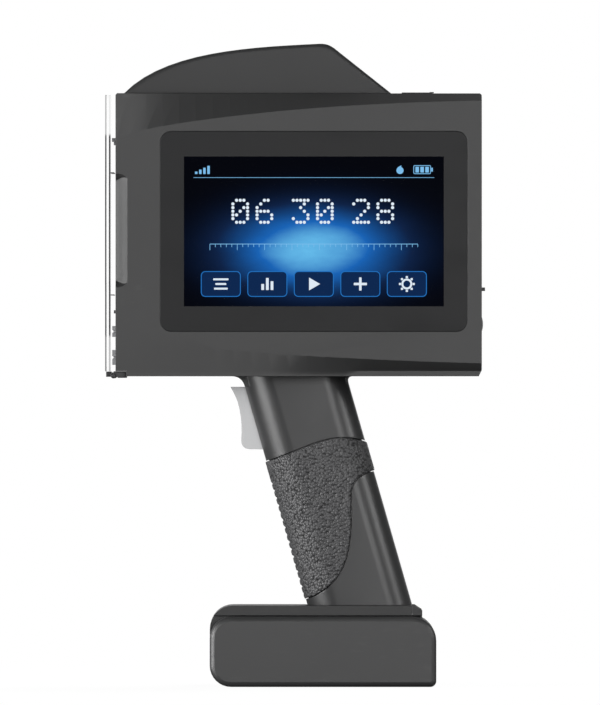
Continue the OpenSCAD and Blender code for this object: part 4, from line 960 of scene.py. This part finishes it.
@dataclass
class Screen(SubAssembly):
    """Touch glass over a display that shows a plain operating page, laid out in millimetres."""

    picture: Span = (95.0 * MM, 54.8 * MM)
    lift: float = 0.05 * MM
    border: Colour = (0.010, 0.0102, 0.0108)
    white: Colour = (0.80, 0.90, 1.0)
    pale: Colour = (0.22, 0.55, 0.90)
    azure: Colour = (0.020, 0.21, 0.66)
    navy: Colour = (0.004, 0.022, 0.085)
    code: str = "063028"
    code_top: float = 11.4
    dot: float = 1.34
    pair_gap: float = 4.4
    ruler_half: int = 38
    ruler_row: float = -4.6
    status_row: float = 22.6
    key_row: float = -19.2
    key_places: tuple[int, ...] = (-34, -17, 0, 17, 34)
    key_size: tuple[float, float, float] = (14.6, 9.4, 1.6)
    key_rim: float = 0.3
    middle: Vector = field(init=False)

    def __post_init__(self) -> None:
        """Finds the middle of the display's front."""
        low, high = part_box("display_module")
        self.middle = Vector(((low.x + high.x) / 2, low.y, (low.z + high.z) / 2))

    def build(self) -> None:
        """Dresses the screen stack and models the page."""
        centre = (self.middle.x, self.middle.z)
        self.coat(CoverGlass("touch_glass", self.border, centre, self.picture), "touch_glass")
        self.coat(Rubber("tape_black", (0.006, 0.006, 0.006), (0.010, 0.010, 0.010)), "glass_gasket")
        self.coat(Picture("display_picture", centre, self.picture), "display_module")
        white, pale = Glow("ink_white", self.white), Glow("ink_pale", self.pale)
        azure, navy = Glow("ink_azure", self.azure), Glow("ink_navy", self.navy)
        for name, ink, parts in (
                ("screen_code", white, self.code_dots()),
                ("screen_ruler", pale, self.ruler()),
                ("screen_status", pale, self.status()),
                ("screen_key_faces", navy, self.keys(0.0)),
                ("screen_key_rims", azure, self.keys(self.key_rim)),
                ("screen_icons", white, self.icons())):
            self.place(weld(parts, name), ink, Body.PRINTER, "display")

    def at(self, right: float, up: float, layer: int = 0) -> Vector:
        """Point in metres from millimetres off the picture's middle and a number of lifts in front of it."""
        return self.middle + Vector((right * MM, -layer * self.lift, up * MM))

    def plate(self, right: float, up: float, width: float, height: float, corner: float = 0.0,
              layer: int = 0, line: float = 0.0) -> Piece:
        """Thin rounded plate that faces -Y, or its rim alone.

        Args:
            right: Place along X, from the picture's middle.
            up: Place along Z, from the picture's middle.
            width: Size along X.
            height: Size along Z.
            corner: Corner radius.
            layer: Number of lifts that it stands in front of the picture.
            line: Width of the rim; 0 keeps the plate whole.

        Returns:
            The plate, not yet settled.
        """
        deselect()
        bpy.ops.mesh.primitive_plane_add(size=1.0, location=self.at(right, up, layer), rotation=UPRIGHT)
        plate = bpy.context.object
        plate.scale = (width * MM, height * MM, 1.0)
        bpy.ops.object.transform_apply(location=False, rotation=False, scale=True)
        edit(plate)
        if corner:
            bpy.ops.mesh.bevel(affect="VERTICES", offset=corner * MM, segments=4)
        return self.thicken(plate, line)

    def spot(self, right: float, up: float, radius: float, sides: int, turn: float = 0.0,
             layer: int = 0, line: float = 0.0) -> Piece:
        """Thin disc or polygon that faces -Y, or its rim alone.

        Args:
            right: Place along X, from the picture's middle.
            up: Place along Z, from the picture's middle.
            radius: Outer radius.
            sides: Number of sides.
            turn: Turn in its own plane.
            layer: Number of lifts that it stands in front of the picture.
            line: Width of the rim; 0 keeps the disc whole.

        Returns:
            The disc, not yet settled.
        """
        deselect()
        bpy.ops.mesh.primitive_circle_add(
            vertices=sides, radius=radius * MM, fill_type="NGON", location=self.at(right, up, layer),
            rotation=(UPRIGHT[0], turn, 0.0))
        disc = bpy.context.object
        edit(disc)
        return self.thicken(disc, line)

    def thicken(self, flat: Piece, line: float) -> Piece:
        """Raises an opened flat piece, or its rim alone, by one lift.

        Args:
            flat: A piece in edit mode with all of it selected.
            line: Width of the rim; 0 keeps the piece whole.

        Returns:
            The same piece, closed.
        """
        if line:
            bpy.ops.mesh.inset(thickness=line * MM)
            bpy.ops.mesh.delete(type="FACE")
            bpy.ops.mesh.select_all(action="SELECT")
        bpy.ops.mesh.extrude_region_move(TRANSFORM_OT_translate={"value": (0.0, -self.lift, 0.0)})
        close_edit()
        return flat

    def code_dots(self) -> list[Piece]:
        """Date figures as a print head fires them, in dots five wide and seven high.

        Returns:
            The dots.
        """
        figures = {
            "0": (14, 17, 19, 21, 25, 17, 14), "2": (14, 17, 1, 2, 4, 8, 31), "3": (31, 2, 4, 2, 1, 17, 14),
            "6": (6, 8, 16, 30, 17, 17, 14), "8": (14, 17, 17, 14, 17, 17, 14)}
        step = 6.6 * self.dot
        start = self.dot - (len(self.code) * step + 2 * self.pair_gap) / 2
        spots = []
        for place, figure in enumerate(self.code):
            left = start + place * step + (place // 2) * self.pair_gap
            for row, bits in enumerate(figures[figure]):
                spots += [(left + col * self.dot, self.code_top - row * self.dot)
                          for col in range(5) if bits >> (4 - col) & 1]
        return [self.spot(*spot, 0.44 * self.dot, 12) for spot in spots]

    def ruler(self) -> list[Piece]:
        """Print ruler: a base line with a tall tick each ten millimetres.

        Returns:
            The line and its ticks.
        """
        half, base = self.ruler_half, self.ruler_row
        parts = [self.plate(0, base, 2 * half, 0.22)]
        for tick in range(-half, half + 1, 2):
            tall = 2.2 if (tick + half) % 10 == 0 else 1.1
            parts.append(self.plate(tick, base - tall / 2, 0.2, tall))
        return parts

    def status(self) -> list[Piece]:
        """Status strip: signal bars, a drop of ink, and the battery with its charge.

        Returns:
            The signs and the line under them.
        """
        row, signal, drop, battery = self.status_row, -43, 31.5, 39.6
        parts = [self.plate(0, row - 2.9, 88, 0.16)]
        for bar in range(4):
            tall = 0.9 + 0.7 * bar
            parts.append(self.plate(signal + 1.5 * bar, row - 1.6 + tall / 2, 0.9, tall, 0.12))
        parts.append(self.plate(battery, row, 6.4, 3.2, 0.5, line=0.25))
        parts.append(self.plate(battery + 3.6, row, 0.6, 1.4, 0.15))
        parts += [self.plate(battery + 1.8 * cell, row, 1.3, 2.1, 0.15) for cell in (-1, 0, 1)]
        parts.append(self.spot(drop, row - 0.3, 1.3, 20))
        parts.append(self.spot(drop, row + 0.75, 0.95, 3, math.pi / 6))
        return parts

    def keys(self, line: float) -> list[Piece]:
        """Row of touch keys: whole faces, or their rims one layer up where a line width is given."""
        return [self.plate(right, self.key_row, *self.key_size, layer=1 if line else 0, line=line)
                for right in self.key_places]

    def icons(self) -> list[Piece]:
        """Signs on the keys: lines of text, gauge, start, plus and setting ring.

        Returns:
            The signs.
        """
        text, gauge, start, plus, ring = self.key_places
        row, layer, orbit = self.key_row, 2, 2.5
        parts = [self.plate(text, row + shift, 5.6 - short, 0.7, 0.2, layer)
                 for shift, short in ((1.7, 0.0), (0.0, 1.6), (-1.7, 0.6))]
        parts += [self.plate(gauge + 1.7 * (bar - 1), row - 2.2 + tall / 2, 1.0, tall, 0.15, layer)
                  for bar, tall in enumerate((2.2, 4.4, 3.2))]
        parts.append(self.spot(start - 0.4, row, 2.7, 3, math.pi / 2, layer))
        parts += [self.plate(plus, row, *size, 0.2, layer) for size in ((4.8, 0.9), (0.9, 4.8))]
        parts.append(self.spot(ring, row, 2.0, 24, 0.0, layer, 0.7))
        for eighth in range(8):
            turn = math.pi / 4 * eighth
            right, up = orbit * math.cos(turn), orbit * math.sin(turn)
            parts.append(self.plate(ring + right, row + up, 0.8, 0.8, 0.15, layer))
        return parts


@dataclass
class Handle(SubAssembly):
    """Pistol grip: two halves, a pebbled rubber sleeve and the trigger."""

    plastic: Colour = (0.022, 0.0222, 0.0228)
    sleeve: Colour = (0.050, 0.050, 0.052)
    bloom: Colour = (0.072, 0.072, 0.074)
    trigger: Colour = (0.455, 0.457, 0.463)
    pull: float = 4.5 * MM
    voxel: float = 0.4 * MM
    pebble: float = 1.5 * MM
    relief: float = 0.22 * MM
    level: float = 0.42
    grain: float = 0.82 * MM
    lean: float = math.radians(16)
    crease: float = math.radians(60)

    def build(self) -> None:
        """Dresses the handle and models the sleeve."""
        self.shell(Moulded("handle_satin", self.plastic, 0.37, 0.5, 0.2 * MM, 0.004 * MM), Body.PRINTER,
                   "handle_shell", "handle_left_half", "handle_right_half", weigh=False)
        self.shell(Moulded("trigger_grey", self.trigger, 0.42, 0.4), Body.TRIGGER, "trigger_grey", "trigger")
        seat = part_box("trigger_spring")[1].x
        self.spring(Coil("trigger_spring", "trigger_pull", self.pull, Axis.X, seat), Body.PRINTER)
        rubber = Rubber("grip_rubber", self.sleeve, self.bloom, 0.42, pebble=self.grain)
        self.place(self.pebbled_sleeve(), rubber, Body.PRINTER, "grip_rubber")

    def pebbled_sleeve(self) -> Piece:
        """Sleeve with a leather-like pebble grain raised on its outside.

        Returns:
            The piece that stands for the CAD sleeve.
        """
        sleeve = copy_node("grip_sleeve", "pebbled_sleeve")
        apply_modifier(sleeve, "REMESH", mode="VOXEL", voxel_size=self.voxel)
        outside = sleeve.vertex_groups.new(name="outside")
        low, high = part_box("grip_sleeve")
        middle, slope = (low + high) / 2, math.tan(self.lean)
        for vertex in sleeve.data.vertices:
            axis_x = middle.x - (vertex.co.z - middle.z) * slope
            away = Vector((vertex.co.x - axis_x, vertex.co.y, 0.0)).normalized()
            outside.add([vertex.index], max(0.0, vertex.normal.dot(away)), "REPLACE")
        grain = bpy.data.textures.new("pebble", "VORONOI")
        grain.noise_scale = self.pebble
        grain.distance_metric = "DISTANCE"
        apply_modifier(sleeve, "DISPLACE", texture=grain, texture_coords="LOCAL", vertex_group="outside",
                       strength=-self.relief, mid_level=self.level)
        take(sleeve)
        bpy.ops.object.shade_smooth_by_angle(angle=self.crease)
        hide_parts("grip_sleeve")
        return sleeve


@dataclass
class BatteryPack(SubAssembly):
    """Foot of the handle and the battery pack that slides on it."""

    case: Colour = (0.018, 0.0182, 0.0186)
    case_edge: float = 0.1 * MM
    case_kink: float = math.radians(12.0)
    foot: Colour = (0.012, 0.0122, 0.0126)
    press: float = 2.5 * MM
    coats: Coats = (
        (Moulded("cell_wrap", (0.035, 0.14, 0.33), 0.35, 0.5), "battery_cells"),
        (Metal("terminal_gold", (0.72, 0.52, 0.20), 0.26), "foot_terminals", "battery_terminals"))

    def build(self) -> None:
        """Dresses the foot and the pack."""
        dark = Moulded("foot_charcoal", self.foot, 0.46)
        self.shell(dark, Body.PRINTER, "foot_shell", "battery_foot")
        self.coat(dark, "battery_latch", "foot_end_caps")
        self.shell(Moulded("pack_charcoal", self.case, 0.46, 0.66, edge=self.case_edge), Body.PACK,
                   "battery_shell", "battery_left_case", "battery_right_case", kink=self.case_kink)
        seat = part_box("latch_spring")[0].z
        self.spring(Coil("latch_spring", "release_press", self.press, Axis.Z, seat), Body.PACK)
        super().build()


@dataclass(frozen=True)
class Lamp:
    """Soft box that points at the middle of the printer, and may be left out of reflections."""

    name: str
    place: tuple[float, float, float]
    size: Span
    watts: float
    mirrored: bool = True

    def hang(self, target: Vector) -> None:
        """Adds the lamp.

        Args:
            target: Point that it faces.
        """
        light = bpy.data.lights.new(self.name, "AREA")
        light.shape = "RECTANGLE"
        light.size, light.size_y = self.size
        light.energy = self.watts
        lamp = add_object(self.name, light)
        lamp.location = self.place
        lamp.visible_camera = False
        lamp.visible_glossy = self.mirrored
        lamp.rotation_euler = (target - lamp.location).to_track_quat("-Z", "Y").to_euler()


@dataclass
class Studio:
    """White studio: level camera, soft boxes and a pale floor."""

    aim: Span = (1.69 * MM, 122.2 * MM)
    view_height: float = 257.66 * MM
    lens: float = 1200.0
    sensor: float = 36.0
    farthest: float = 80.0
    face: float = -32.0 * MM
    ambient: float = 0.32
    dim: float = 0.16
    floor_size: float = 12.0
    floor_dark: Colour = (0.14, 0.14, 0.14)
    floor_pale: Colour = (0.85, 0.85, 0.85)
    floor_glow: float = 0.96
    floor_shine: float = 0.12
    lamps: tuple[Lamp, ...] = (
        Lamp("front_box", (0.42, -1.66, 0.32), (0.7, 0.46), 9.0),
        Lamp("left_box", (-1.14, -0.82, 0.25), (0.62, 0.46), 16.0),
        Lamp("left_side", (-1.35, -0.20, 0.35), (0.40, 0.8), 9.5),
        Lamp("left_card", (-0.30, -0.18, 0.03), (0.20, 0.05), 0.40),
        Lamp("right_strip", (1.05, -0.93, 0.50), (0.20, 0.4), 0.7),
        Lamp("right_rim", (1.23, -0.62, 0.54), (0.45, 0.36), 5.8),
        Lamp("rear_fill", (0.5, 2.0, 0.30), (1.2, 0.7), 60.0, mirrored=False),
        Lamp("top_fill", (0.9, 1.0, 1.75), (1.0, 1.0), 34.0, mirrored=False))

    def build(self) -> None:
        """Sets up the camera, light and floor."""
        bpy.context.scene.view_settings.view_transform = "Standard"
        self.stand_camera()
        for lamp in self.lamps:
            lamp.hang(Vector((0.0, 0.0, self.aim[1])))
        self.world()
        self.floor()

    def stand_camera(self) -> None:
        """Puts the camera level in front of the screen, as far off as its lens needs."""
        lens = bpy.data.cameras.new("camera")
        lens.sensor_width = self.sensor
        lens.lens = self.lens
        lens.clip_end = self.farthest
        camera = add_object("camera", lens)
        away = self.view_height * self.lens / self.sensor
        camera.location = (self.aim[0], self.face - away, self.aim[1])
        camera.rotation_euler = UPRIGHT
        bpy.context.scene.camera = camera

    def world(self) -> None:
        """White behind the object, dim towards the ceiling and behind the camera."""
        graph = Graph(bpy.data.worlds.new("studio"))
        way = graph.node("TexCoord", out="Generated")
        back = graph.node("SeparateXYZ", {0: way}, Axis.Y.value)
        up = abs(graph.node("SeparateXYZ", {0: way}, Axis.Z.value))
        glossy = graph.ray("Is Glossy Ray")
        wall = self.dim + back.step(0.80, 0.99) * up.step(0.7, 0.2) * (1.0 - self.dim)
        level = graph.seen().most(glossy * wall + (1.0 - glossy) * (1.0 - up * 0.7) * self.ambient)
        shine = graph.node("Background", {"Color": WHITE, "Strength": level})
        graph.node("OutputWorld", {0: shine})
        bpy.context.scene.world = graph.owner

    def floor(self) -> None:
        """Pale floor that keeps the shadow near the object and runs into the white background."""
        deselect()
        bpy.ops.mesh.primitive_plane_add(size=self.floor_size)
        plane = settle(bpy.context.object, "floor")
        graph = Graph(bpy.data.materials.new("floor_white"))
        away = graph.node("VectorMath", {0: graph.place()}, "Value", operation="LENGTH")
        seen = graph.seen()
        shine = graph.ray("Is Glossy Ray") * away.step(0.2, 0.7) * self.floor_shine
        lit = (seen * (self.floor_glow + away.step(0.12, 0.6) * (1.0 - self.floor_glow))).most(shine)
        matt = graph.node("BsdfDiffuse", {"Color": graph.mix(seen, self.floor_dark, self.floor_pale)})
        glow = graph.node("Emission", {"Color": WHITE})
        graph.node("OutputMaterial", {0: graph.node("MixShader", {0: lit, 1: matt, 2: glow})})
        plane.data.materials.append(graph.owner)


def main() -> None:
    """Builds each sub-assembly in order."""
    logging.basicConfig(level=logging.INFO, format="%(name)s: %(message)s")
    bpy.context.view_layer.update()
    Studio().build()
    for group in (Housing(), Controls(), Electronics(), CartridgeBay(), GuardAndRollers(), Screen(), Handle(),
                  BatteryPack()):
        group.build()
        LOG.info("%s done", type(group).__name__)


if __name__ == "__main__":
    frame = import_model()
    main()
